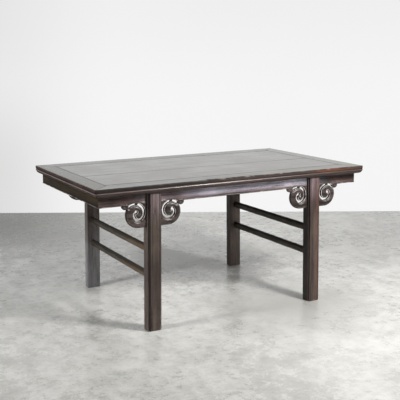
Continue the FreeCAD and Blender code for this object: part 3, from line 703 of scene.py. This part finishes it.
legs = [leg(*corner, 81 + 10 * number) for number, corner in enumerate(CORNERS)]


# %% [markdown]
# ## The stretchers
# Two oval rails join the legs at each end. They run into mortises, so each surface goes a
# little way into the legs and its closed ends are hidden there. An oval could be a squashed
# cylinder, but a plane never leaves it quite true: here its radius changes a little along
# its length and round it, and the outer side is flattened by wear.

# %% Stretchers
STRETCHER_HALF, RAIL_LEVELS = np.array([14.0, 23.0]) * MM, {"upper": 460 * MM, "lower": 308 * MM}


def rail(name, side_x, level, seed):
    """Round the oval: half width · cos and half height · sin, less the unevenness."""
    lean = 1 - level / TOP
    middle_x = HALF_LENGTH - (LEG_INSET[0] + LEG_WIDTH / 2 - 3) * MM + LEG_LEAN[0] * lean
    reach = HALF_DEPTH - (LEG_INSET[1] + LEG_DEPTH) * MM + LEG_LEAN[1] * lean + 4 * MM
    turn = np.linspace(0, 2 * math.pi, 48, endpoint=False)
    run = np.linspace(-reach, reach, 220)[:, None]
    x = side_x * middle_x + STRETCHER_HALF[0] * np.cos(turn) + 0 * run
    z = level + STRETCHER_HALF[1] * np.sin(turn) + 0 * run
    points = np.stack([x, run + 0 * turn, z], -1)
    uneven = 0.35 + 0.25 * ripple(points, (8, 5, 8), seed) + 0.1 * ripple(points, (30, 12, 30), seed + 1)
    uneven = uneven + nicks(run, reach, 8, seed + 2) * step(np.sin(turn), 0.3, 0.9)
    share = 1 - np.clip(uneven, 0, 1.4) * MM / STRETCHER_HALF[0]
    points[..., 0] = side_x * middle_x + (x - side_x * middle_x) * share
    points[..., 2] = level + (z - level) * share
    wear = ridge(np.sin(turn), -0.1, 0.25) * (0.3 + 0.4 * ripple(points, (9, 6, 9), seed + 3))
    # The upper half of each rail is painted dark as a hollow: painted shade under the table top.
    painted_shade_top = step(np.sin(turn) + 0.15 * ripple(points, (4, 5, 4), seed + 4), 0.1, 0.55) * 0.8
    hollow = np.maximum(step(abs(run), reach - 9 * MM, reach - 3 * MM), painted_shade_top)
    return carried("rail_" + name, points, wear, hollow, 60.0, ["stretcher_" + name])


SIDES = (("left", -1), ("right", 1))
places_of_rails = [(side, level) for side in SIDES for level in RAIL_LEVELS]
rails = [
    rail(side + "_" + level, side_x, RAIL_LEVELS[level], 121 + 10 * number)
    for number, ((side, side_x), level) in enumerate(places_of_rails)
]


# %% [markdown]
# ## The scroll boards
# The board at each leg is one plank. Its head is a length of apron with mitred ends, and
# beside the leg it is pierced by a spiral slot on either side. The carver left a narrow
# rounded bead along both sides of the slot and let the wood between them swell like a
# rolled leaf. It could be sculpted by hand, but every height here depends on only two
# distances: how far a place is from the slot, and how far from the outline. So the face is
# a height field, cut off where the board is pierced, and the walls and the flat back close
# it. The scroll left of a leg is carved a little tighter than the one on its right.

# %% Distances in the scroll boards
SLOT_HALF, DROP_RADIUS = 5.3, 8.0
SPIRAL_OUT, SPIRAL_DOWN, SPIRAL_START, SPIRAL_DRAW = 61.5, 52.5, 67, 7
HEAD_TALL, APRON_DEEP, MITRE_TOP, MITRE_SPREAD, MITRE_SQUARE = 60.8, 61, 48.5, 70, 0.657
SCROLL_MIDDLE, SCROLL_RADIUS, SCROLL_DEEP, HALF_LEG = np.array([51.5, 56.5]), 73.5, 130, 42.5
FIRST_TURN, LAST_TURN = math.radians(42), math.radians(403)


def tightened(turn, hand):
    """How far the spiral is drawn towards the leg on its left side, by the turn."""
    return 11.0 * step(turn, math.radians(200), math.radians(330)) * (hand < 0)


def spiral_radius(turn):
    """The radius is drawn in evenly with the turn: 67 - 7·turn, in radians."""
    return SPIRAL_START - SPIRAL_DRAW * turn


def spiral(turn, hand):
    """The slot's middle line, millimetres out from the leg and down from the apron's foot:
    centre + radius · (cos, -sin)."""
    radius = spiral_radius(turn)
    out = SPIRAL_OUT - tightened(turn, hand) + radius * np.cos(turn)
    return np.stack([out, SPIRAL_DOWN - radius * np.sin(turn)], -1)


def to_slot(places, first, last, hand):
    """Distance from each place to one stretch of the slot with rounded tips: the least
    distance to its middle line, less half its width."""
    first, last = first + SLOT_HALF / spiral_radius(first), last - SLOT_HALF / spiral_radius(last)
    line = spiral(np.linspace(first, last, max(8, round((last - first) * 75))), hand)
    away = np.sqrt(((places[:, None, :] - line) ** 2).sum(-1)).min(1)
    return away - SLOT_HALF


def board_distances(places, hand):
    """Distance to the nearest opening, distance to the slot as if no bridge crossed it, and
    depth inside the outlines of the scroll and of the head between its mitres."""
    crossing = math.radians(92 if hand < 0 else 84)
    half_bridge = 6 / spiral_radius(crossing)
    drop = np.hypot(*(places - spiral(LAST_TURN, hand) - (-1, 1)).T) - DROP_RADIUS
    pairs = (FIRST_TURN, crossing - half_bridge), (crossing + half_bridge, LAST_TURN)
    stretches = [to_slot(places, *pair, hand) for pair in pairs]
    whole = np.minimum(to_slot(places, FIRST_TURN, LAST_TURN, hand), drop)
    out, down = places.T
    block = np.minimum(SCROLL_MIDDLE[0] - out, np.minimum(SCROLL_DEEP - down, down + 14))
    scroll = np.maximum(SCROLL_RADIUS - np.hypot(*(places - SCROLL_MIDDLE).T), block)
    mitre = (MITRE_TOP + (down + APRON_DEEP) * MITRE_SPREAD / APRON_DEEP - out) * MITRE_SQUARE
    head = np.minimum(np.minimum(down + HEAD_TALL, 4 - down), mitre - 0.1)
    return np.minimum.reduce(stretches + [drop]), whole, scroll, head


print("slot runs from", spiral(FIRST_TURN, 1).round(1), "to", spiral(LAST_TURN, 1).round(1))


# %% Heights in the scroll boards
def quarter_round(depth, width):
    """0 at the edge, rising as a quarter circle to 1 at the width."""
    return np.sqrt(np.clip(1 - (1 - np.clip(depth, 0, width) / width) ** 2, 0, 1))


def carved_height(whole, scroll, places, hand):
    """Bead beside the slot: 1.8·sqrt(1 - ((distance - 2.7)/2.7)²). Swelling beyond it: 3.4
    by a smooth step, times a quarter round at the outline. The eye inside the last turn is
    a dome, bridges are sunk, and all of it fades into the apron above."""
    bead = 1.8 * np.sqrt(np.clip(1 - ((whole - 2.7) / 2.7) ** 2, 0, 1))
    bead = bead * np.maximum(quarter_round(scroll, 9), 0.3) * step(places[:, 1], -16, -5)
    swell = 3.4 * step(whole, 5.6, 15) * quarter_round(scroll, 11) * step(places[:, 1], -48, 6)
    middle = spiral(LAST_TURN, hand) + (-11, 17)
    eye = 1.6 * np.exp(-(((places - middle) ** 2).sum(1) / 60.0))
    return np.where(whole < 0, -1.5, np.maximum(bead, swell) + eye)


def rim_depth(places):
    """How far inside the wood a place is, by its place across the board and down it: the
    least of the distance to an opening and the depth in the outline."""
    depth = np.empty(len(places))
    for hand in (-1, 1):
        chosen = (places[:, 0] < 0) == (hand < 0)
        flat = np.stack([abs(places[chosen, 0]) - HALF_LEG, places[chosen, 1]], -1)
        opening, _, scroll, head = board_distances(flat, hand)
        depth[chosen] = np.minimum(opening, np.maximum(scroll, head))
    return depth


# %% The face of a scroll board
def pulled_to_rim(places, outside):
    """Places that lie outside the wood are moved to its rim, along the slope of the depth,
    by as much as they are outside. Three times, because the slope turns."""
    nudge = 0.05
    offsets = (nudge, 0), (0, nudge)
    for _ in range(3):
        depth = rim_depth(places[outside])
        slope = np.stack([(rim_depth(places[outside] + offset) - depth) / nudge for offset in offsets], -1)
        size = np.maximum((slope**2).sum(-1, keepdims=True), 0.2)
        places[outside] += np.where(depth < 0, -depth, 0)[:, None] * slope / size
    return places


def board_face(pace=1.45):
    """Places, faces, heights and marks of one board, flat: across from the leg's middle,
    and down from the apron's foot."""
    across, down = np.meshgrid(np.arange(-171, 171.1, pace), np.arange(-62, 132, pace), indexing="ij")
    places = np.stack([across.ravel(), down.ravel()], -1)
    faces = woven(*across.shape, False)
    depth = rim_depth(places)
    faces = faces[(depth[faces] > 0).any(1) & (depth[faces] > -1.5 * pace).all(1)]
    places = pulled_to_rim(places, np.unique(faces[depth[faces] < 0]))
    used, faces = np.unique(faces, return_inverse=True)
    faces, places = faces.reshape(-1, 4), places[used]
    height, sunk, glint = np.empty(len(places)), np.empty(len(places)), np.empty(len(places))
    for hand in (-1, 1):
        chosen = (places[:, 0] < 0) == (hand < 0)
        flat = np.stack([abs(places[chosen, 0]) - HALF_LEG, places[chosen, 1]], -1)
        _, whole, scroll, head = board_distances(flat, hand)
        height[chosen] = carved_height(whole, scroll, flat, hand)
        out, below = flat.T
        # Painted shade: the groove between bead and swell, the outline, the strip beside the leg and the slot
        # with its sunk bridges are darkened.
        groove = ridge(whole, 6.0, 1.6) * step(below, -22, -10)
        outline = ridge(np.maximum(scroll, head), 0, np.where(below > 0, 4.0, 1.8)) * 0.9
        shade_beside_leg = ridge(out, 0, 2.5) * 0.9
        sunk[chosen] = np.maximum.reduce([groove, outline, shade_beside_leg, 1.0 * (whole < 0.2)])
        # Painted highlights: light lines on the beads beside the slot and on a rim inside the outline.
        rim = 0.7 * ridge(scroll, 6.5, 1.6) * step(below, 0, 20) * step(out, 8, 20)
        beaded = step(whole, 0.3, 1.2) * (1 - step(whole, 4.2, 6.0)) * step(below, -14, -5)
        glint[chosen] = np.maximum(beaded, rim)
    return places, faces, height, glint, sunk


face_places, face_quads, face_height, face_glint, face_shade = board_face()
print("scroll board: %d places, %.1f mm proud" % (len(face_places), face_height.max()))


# %% Four scroll boards
APRON_FACE, APRON_FOOT, SPANDREL_MIDDLE, BOARD_THICK = 475.5 * MM, 730 * MM, 543.64 * MM, 12 * MM


def rim_walls(faces, count):
    """Faces between the rim of the front and its copy at the back. The rim is every edge
    that is used in one direction only."""
    edges = np.concatenate([faces[:, [i, (i + 1) % 4]] for i in range(4)])
    forward = edges[:, 0] * count + edges[:, 1]
    backward = edges[:, 1] * count + edges[:, 0]
    rim = edges[~np.isin(forward, backward)]
    return np.stack([rim[:, 1], rim[:, 0], rim[:, 0] + count, rim[:, 1] + count], -1)


def scroll_board(name, side_x, side_y, seed):
    """x = middle + place across, z = foot - place down, and y stands off the board's face by
    the height. Its copy at the board's back is flat, and walls join the two."""
    count = len(face_places)
    x = side_x * SPANDREL_MIDDLE + face_places[:, 0] * MM
    z = APRON_FOOT - face_places[:, 1] * MM
    flat = np.stack([x, np.zeros(count), z], -1)
    uneven = 1 + 0.12 * ripple(flat, 25.0, seed)
    rough = 0.1 * ripple(flat, (6, 6, 22), seed + 1) * (face_height > 0)
    proud = np.minimum(face_height * uneven + rough, 5.0)
    front = np.stack([x, side_y * (APRON_FACE + proud * MM), z], -1)
    back = np.stack([x, np.full(count, side_y * (APRON_FACE - BOARD_THICK)), z], -1)
    shell = np.concatenate([face_quads, face_quads[:, ::-1] + count, rim_walls(face_quads, count)])
    # The crests carry the finish's pale worn colour as a painted highlight; dark places are painted shade,
    # also on the walls behind them.
    worn = face_glint * (0.75 + 0.3 * ripple(flat, 30.0, seed + 2))
    wear = np.concatenate([worn, np.zeros(count)])
    hollow = np.concatenate([face_shade, 0.6 * (face_shade > 0.9)])
    points, marks = np.concatenate([front, back]), {"wear": wear, "hollow": hollow}
    solid = ["spandrel_" + name]
    return piece("scroll_board_" + name, points, shell, (), marks, 50.0, solid)


scroll_boards = [scroll_board(*corner, 201 + 10 * number) for number, corner in enumerate(CORNERS)]


# %% [markdown]
# ## The hooks
# Where an apron ends, a small round hook hangs from it and touches the scroll. It is carved
# as a little curl, and its eye is painted dark as painted shade. A torus would be too
# regular, so it is a patch on a polar grid: rings round the eye whose height rises to a rim
# and falls away again.

# %% Hooks beside the scrolls
HOOK_OUT, HOOK_DOWN, HOOK_FACE, HOOK_RADIUS, HOOK_SQUASH = 128, 4.5, 19.6, 19.7, 0.92


def hook_patches(name, side_y, seed):
    """Rings round a dark eye. Height: 2.4 times a quarter round at the outer edge, times a
    smooth step from 3.5 to 8.5 mm, less 0.3. The last ring is sunk, and so is what lies
    inside the scroll or high above the middle, from 6 mm on and wholly at 15 mm."""
    radius = np.concatenate([[0.05], np.linspace(1.5, HOOK_FACE, 14), [HOOK_RADIUS]])[:, None]
    turn = np.linspace(0, 2 * math.pi, 44, endpoint=False)
    out, down = radius * np.cos(turn), HOOK_SQUASH * radius * np.sin(turn)
    rim = 2.4 * quarter_round(HOOK_RADIUS - radius, 9) * step(radius, 3.5, 8.5) - 0.3 + 0 * turn
    rim[-1] = -1.0
    above = step(down, -15, -6)
    from_scroll = HOOK_OUT + out - SCROLL_MIDDLE[0], HOOK_DOWN + down - SCROLL_MIDDLE[1]
    inside = np.hypot(*from_scroll) - SCROLL_RADIUS
    proud = np.where(inside < 0.5, -1.0, rim * above - 1.0 * (1 - above))
    eye = 1 - 0.6 * step(radius + 0 * turn, 3.0, 6.5)
    quads = woven(len(radius), len(turn))
    parts, faces, wear, hollow = [], [], [], []
    for number, (side_x, hand) in enumerate(((-1, -1), (-1, 1), (1, -1), (1, 1))):
        x = side_x * SPANDREL_MIDDLE + hand * (HALF_LEG + HOOK_OUT + out) * MM
        z = APRON_FOOT + (-HOOK_DOWN - down) * MM
        points = np.stack([x, side_y * (APRON_FACE + proud * MM), z], -1).reshape(-1, 3)
        parts.append(points)
        faces.append((quads, number * len(points), hand))
        rough = 0.1 * ripple(points, 30, seed).reshape(rim.shape)
        # A faint painted highlight on the rim; the eye and the seam against the scroll are painted shade.
        wear.append((step(rim, 1.2, 2.2) * above * 0.2 + rough).ravel())
        hollow.append(np.maximum(eye, ridge(inside, 0, 2.0)).ravel())
    count = len(parts[0])
    quads = np.concatenate([(q if hand * side_y > 0 else q[:, ::-1]) + start for q, start, hand in faces])
    caps = []
    for number, (_, start, hand) in enumerate(faces):
        inner, outer = np.arange(len(turn)) + start, np.arange(len(turn)) + start + count - len(turn)
        caps += [inner[::-1], outer] if hand * side_y > 0 else [inner, outer[::-1]]
    marks = {"wear": np.concatenate(wear), "hollow": np.concatenate(hollow)}
    return piece("hooks_" + name, np.concatenate(parts), quads, caps, marks, 60.0)


hooks = [hook_patches("front", -1, 241), hook_patches("back", 1, 242)]

# %% [markdown]
# ## The bead along the aprons
# A small half-round bead finishes the lower edge of every apron and runs into the hooks of
# the scrolls. Round the ends of the table it turns the corner in a mitre. A curve with a
# bevel could draw it, but an outline that is carried from corner to corner, and stands off
# both ways at a corner, mitres itself.

# %% Apron beads
HOOK_REACH, END_FACE = 188 * MM, 868.5 * MM
RUN_START, RUN_END = SPANDREL_MIDDLE - HOOK_REACH, SPANDREL_MIDDLE + HOOK_REACH


def bead_run(name, path, outward, seed):
    """Across: out by 1.8·sin and up by 2.5 - 2.5·cos of the half turn. Along: the path and
    its outward direction, shared out evenly between each pair of corners."""
    path, outward = np.array(path), np.array(outward)
    lengths = np.sqrt(((path[1:] - path[:-1]) ** 2).sum(1))
    counts = [max(2, round(length / (5 * MM))) for length in lengths]
    stretches = [np.linspace(i, i + 1, count, endpoint=False) for i, count in enumerate(counts)]
    share = np.concatenate(stretches + [[len(path) - 1]])
    number = np.arange(len(path))
    along = np.stack([np.interp(share, number, path[:, i]) for i in (0, 1)], -1)
    off = np.stack([np.interp(share, number, outward[:, i]) for i in (0, 1)], -1)
    turn = np.linspace(0, math.pi, 13)
    proud = np.concatenate([1.8 * np.sin(turn), [-0.6, -0.6]]) * MM
    height = np.concatenate([2.5 - 2.5 * np.cos(turn), [5.0, 0.0]]) * MM
    flat = along[:, None, :] + off[:, None, :] * proud[:, None]
    points = np.concatenate([flat, np.broadcast_to(APRON_FOOT + height, flat.shape[:2])[..., None]], -1)
    rubbed = 0.6 + 0.4 * ripple(points, 7.0, seed)
    thinned = 0.5 * np.clip(rubbed, 0, 1) * (proud > 0) * proud / 1.8
    points[..., :2] -= off[:, None, :] * thinned[..., None]
    # The crest of the bead is painted pale, a painted highlight over its wear, and its top against the apron
    # is painted shade.
    wear = (proud > 1.2 * MM) * rubbed * 0.7
    hollow = np.broadcast_to(step(height, 4.4 * MM, 5.0 * MM), wear.shape)
    return carried("bead_" + name, points, wear, hollow, 50.0)


beads = []
for name, side, seed in (("front", -1, 301), ("back", 1, 302)):
    path = [(-RUN_START, side * APRON_FACE), (RUN_START, side * APRON_FACE)]
    beads.append(bead_run(name, path, [(0, side), (0, side)], seed))
for name, side, seed in (("left", -1, 303), ("right", 1, 304)):
    path = [(RUN_END * side, -APRON_FACE), (END_FACE * side, -APRON_FACE)]
    path += [(x, -y) for x, y in path[::-1]]
    beads.append(bead_run(name, path, [(0, -1), (side, -1), (side, 1), (0, 1)], seed))


# %% [markdown]
# ## Lacquer
# The lacquer was dark brown, nearly black. Age has thinned it: long streaks follow the
# grain, open pores show, and edges are rubbed through to red-brown wood. Broad patches get
# a bluish grey painted sheen, and the hollows are painted black and dull: painted shade in
# recesses and between parts, and dark joints. Crests of the carving are painted pale as
# painted highlights. One recipe makes all of it, with the way of the grain and the main
# tones as its choices. What belongs to one place only, such as the painted sheen in the
# middle of the apron, is a touch of its own: a share from 0 to 1 over the surface, and the
# colour that it brings.

# %% Recipe for lacquer
STRETCHES = {"X": (1.5, 36.0, 36.0), "Y": (36.0, 1.5, 36.0), "Z": (36.0, 36.0, 1.5)}
# The near black darkens open pores and is the painted shade in the hollows.
RED_WOOD, SOOT_AND_SHADE = tone(0.17, 0.072, 0.035), tone(0.004, 0.003, 0.002)


def lacquer(
    name, way, dark, light, worn=RED_WOOD, shine=0.34, gloss=0.35, coat=0.0, varnished=None, touches=()
):
    """Streaks + clouds make the colour; touches, wear and hollows, broken up by noise, cover it."""
    finish = Finish(name)
    stretch = STRETCHES[way]
    broad = finish.speckle(stretch, 4.0, 0.6)
    thin = finish.speckle(tuple(v * 3.3 for v in stretch), 3.0, 0.6, (3.0, 1.0, 2.0))
    cloud = finish.speckle((4.5, 4.5, 4.5), 4.0, 0.6, (1.0, 4.0, 2.0))
    fine = finish.speckle((150.0, 150.0, 150.0), 4.0, 0.6)
    wear, hollow = finish.mark("wear"), finish.mark("hollow")
    depth = finish.rise(broad * 0.40 + thin * 0.38 + cloud * 0.22, 0.42, 0.59)
    colour = finish.blend(depth, dark, light)
    uneven = finish.rise(cloud * 0.5 + broad * 0.5, 0.38, 0.58)
    for share, tint in touches:
        colour = finish.blend(share(finish) * (0.5 + 0.5 * uneven), colour, tint)
    open_pores = finish.rise(thin * 0.7 + fine * 0.3, 0.50, 0.64)
    colour = finish.blend(open_pores * 0.7, colour, SOOT_AND_SHADE)
    bare = finish.rise(wear + thin * 0.5 + fine * 0.25, 0.80, 1.12)
    colour = finish.blend(bare, colour, worn)
    # Hollows are painted near black: painted shade in recesses and between parts, and dark joints.
    colour = finish.blend(hollow * 0.92, colour, SOOT_AND_SHADE)
    roughness = shine + uneven * 0.14 + bare * 0.16 + hollow * 0.3
    varnish = (1 - bare * 0.7) * (1 - hollow) * coat
    if varnished:
        varnish = varnish * varnished(finish)
    pitted = thin * 0.5 + fine * 0.2 - open_pores * 0.5
    bump = finish.add("Bump", {}, {"Strength": 0.55, "Distance": 0.0006, "Height": pitted})
    varying = {"Base Color": colour, "Roughness": roughness, "Coat Weight": varnish, "Normal": bump}
    finish.plug(finish.shader, varying)
    finish.plug(finish.shader, {"Coat Roughness": 0.2, "Coat IOR": 1.5, "Specular IOR Level": gloss})
    return finish


# %% Touches of the frame
def upper_face(finish):
    """1 on the table's top and 0 from two millimetres below it."""
    return finish.past("Z", 0.8376, 0.8392)


def varnished_frame(finish):
    """Varnish is left on the upper face, and on the moulding's bead but for its right part."""
    height = finish.along("Z")
    bead = finish.rise(height, 0.8085, 0.8125) * (1 - finish.rise(height, 0.8155, 0.8185))
    return upper_face(finish) + bead * (1 - finish.past("X", 0.2, 0.5) * 0.8)


def varnished_ends(finish):
    """The right end of the frame has kept more of its varnish than the left end."""
    return varnished_frame(finish) * (0.78 + 0.22 * finish.past("X", 0.0, 0.3))


def moulded_edge(finish):
    return 1 - upper_face(finish)


def shaded_edge(finish):
    """Painted shade under the arris and in the undercut, all round."""
    height = finish.along("Z")
    band = 1 - finish.rise(height, 0.8085, 0.8125) + finish.rise(height, 0.8155, 0.8185)
    return (1 - upper_face(finish)) * band * 0.75


def kept_dark(finish):
    """The upright band of the front edge has kept its black lacquer on the left."""
    front = finish.before("Y", -0.518, -0.510)
    left = finish.before("X", -0.35, 0.0)
    return front * left * finish.past("Z", 0.822, 0.826)


def unlit_right(finish):
    """Under the red rub the bead and undercut are painted as dark as the painted shade beneath them, where
    the bead catches no highlight.
    """
    front = finish.before("Y", -0.5, -0.49)
    low = finish.before("Z", 0.818, 0.822)
    return front * finish.past("X", 0.2, 0.5) * low * 0.7


def rubbed_right(finish):
    """A long reddish rub on the right part of the front edge, a hand's width on the top."""
    run = finish.past("X", 0.42, 0.62) * finish.before("X", 0.74, 0.88)
    front = finish.before("Y", -0.515, -0.495)
    return run * front * finish.past("Z", 0.814, 0.820) * 0.8


# %% Touches of the aprons
def painted_sheen_middle(finish):
    """Painted sheen on the front apron, a bluish reflection of the lamps: full near the middle
    of the table, gone by the scrolls and above the lower edge."""
    out_along = finish.maths_abs(finish.along("X") - 0.11)
    return (1 - finish.rise(out_along, 0.25, 0.59)) * finish.past("Z", 0.736, 0.764)


def painted_sheen_left(finish):
    """The apron beside the left front leg is painted paler than the scrolls under it: the painted sheen
    reaching to the leg.
    """
    return finish.near((-0.53, -0.4755, 0.765), 0.2) * finish.past("Z", 0.728, 0.75) * 0.75


def olive_middle(finish):
    """The middle height of the end aprons is a little paler than their edges."""
    height = finish.along("Z")
    return finish.rise(height, 0.735, 0.755) * (1 - finish.rise(height, 0.77, 0.785)) * 0.6


# %% Touches of the legs and stretchers
def in_front(finish):
    return finish.before("Y", -0.4, -0.3)


def head_haze(finish):
    """Pale dust on the heads of the front legs."""
    return finish.past("Z", 0.60, 0.77) * in_front(finish) * 0.6


def dusty(finish):
    """Dust on all the legs but the right front one, which is wiped more often, and most of
    all on the right back one."""
    on_right = finish.past("X", 0.0, 0.3)
    return 0.25 + on_right * (0.3 - 0.55 * in_front(finish))


def red_side(finish):
    """The right half of the right front leg is worn to orange-brown."""
    return finish.rise(finish.along("X") + 0.015 * finish.along("Z"), 0.556, 0.590) * in_front(finish) * 0.45


def painted_shade_inside(finish):
    """The sides that look left on the right legs are painted dark: painted shade under the table."""
    normal = finish.add("NewGeometry", {}, {}, "Normal")
    side = finish.add("SeparateXYZ", {}, {0: normal}, "X")
    return (1 - finish.rise(side, -0.9, -0.5)) * finish.past("X", 0.0, 0.3) * 0.8


def pale_foot(finish):
    """The lower half of the left back leg has a bluish bloom from damp."""
    back_left = finish.past("Y", 0.2, 0.3) * finish.before("X", -0.3, -0.2)
    return back_left * finish.before("Z", 0.12, 0.6) * 0.8


def brown_front_end(finish):
    """The left stretchers are rubbed brown towards their front ends, where feet rest."""
    on_left = finish.before("X", -0.3, -0.2)
    return on_left * finish.before("Y", -0.40, 0.15) * 0.6


# %% Paint the pieces
OLIVE, MOSS = tone(0.027, 0.023, 0.013), tone(0.075, 0.067, 0.042)
BLACK, DEEP = tone(0.009, 0.006, 0.004), tone(0.030, 0.019, 0.012)
PLUM, DUSK = tone(0.028, 0.016, 0.014), tone(0.145, 0.094, 0.088)
SHEEN_GREY, LILAC, RUST = tone(0.56, 0.53, 0.62), tone(0.26, 0.19, 0.21), tone(0.17, 0.065, 0.033)
BLOOM, FERN, TAN = tone(0.28, 0.285, 0.30), tone(0.055, 0.043, 0.026), tone(0.15, 0.09, 0.045)
edge_touches = (
    (moulded_edge, tone(0.118, 0.072, 0.066)), (shaded_edge, BLACK), (kept_dark, BLACK),
    (unlit_right, PLUM), (rubbed_right, tone(0.125, 0.043, 0.021)),
)
leg_touches = (
    (dusty, tone(0.18, 0.14, 0.115)), (painted_shade_inside, BLACK), (head_haze, LILAC),
    (red_side, RUST), (pale_foot, BLOOM),
)
edges = {"worn": tone(0.22, 0.15, 0.13), "touches": edge_touches}
frame_along_x = lacquer(
    "frame_lacquer_long", "X", OLIVE, MOSS, coat=0.8, varnished=varnished_frame, **edges
)
frame_along_y = lacquer(
    "frame_lacquer_end", "Y", OLIVE, MOSS, coat=1.0, gloss=0.06, varnished=varnished_ends, **edges
)
panel_finish = lacquer("panel_lacquer", "X", OLIVE, MOSS, coat=0.85, shine=0.3, gloss=0.4)
leg_finish = lacquer(
    "leg_lacquer", "Z", PLUM, tone(0.105, 0.074, 0.062),
    worn=tone(0.21, 0.155, 0.125), touches=leg_touches,
)
rail_finish = lacquer(
    "stretcher_lacquer", "Y", tone(0.030, 0.023, 0.013), tone(0.085, 0.069, 0.045),
    touches=((brown_front_end, TAN),),
)
# The pale worn colour is a painted highlight on the crests of the scrolls, hooks and beads.
carved_finish = lacquer(
    "carved_lacquer", "X", tone(0.012, 0.008, 0.007), tone(0.085, 0.058, 0.052),
    worn=tone(0.45, 0.41, 0.40), shine=0.28, gloss=0.5,
    touches=((painted_sheen_left, LILAC), (painted_sheen_middle, SHEEN_GREY)),
)
apron_finish = lacquer("apron_lacquer", "X", PLUM, DUSK, touches=((painted_sheen_middle, SHEEN_GREY),))
end_finish = lacquer(
    "apron_lacquer_end", "Y", BLACK, DEEP, gloss=0.05, shine=0.5, touches=((olive_middle, FERN),)
)
wood_finish = lacquer("underside_wood", "Y", tone(0.05, 0.032, 0.02), tone(0.11, 0.075, 0.05), shine=0.6)
for number, made in enumerate(planks):
    paint(made, frame_along_y if number % 2 else frame_along_x)
carved = scroll_boards + hooks + beads
finished = ((boards, panel_finish), (legs, leg_finish), (rails, rail_finish), (carved, carved_finish))
for group, finish in finished:
    for made in group:
        paint(made, finish)
for name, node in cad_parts.items():
    if name.startswith("batten"):
        paint(node, wood_finish)
    elif name.startswith("apron"):
        paint(node, end_finish if name.endswith("end") else apron_finish)
print("materials:", len(bpy.data.materials))

# %% [markdown]
# ## Check of size
# Nothing that was added may reach outside the CAD model, so both boxes are measured and the largest
# difference between them is printed.

# %% Sizes
made_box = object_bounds()
differences = [abs(a - b) for p, q in zip(cad_box, made_box) for a, b in zip(p, q)]
print("largest difference in mm:", round(1000 * max(differences), 2))
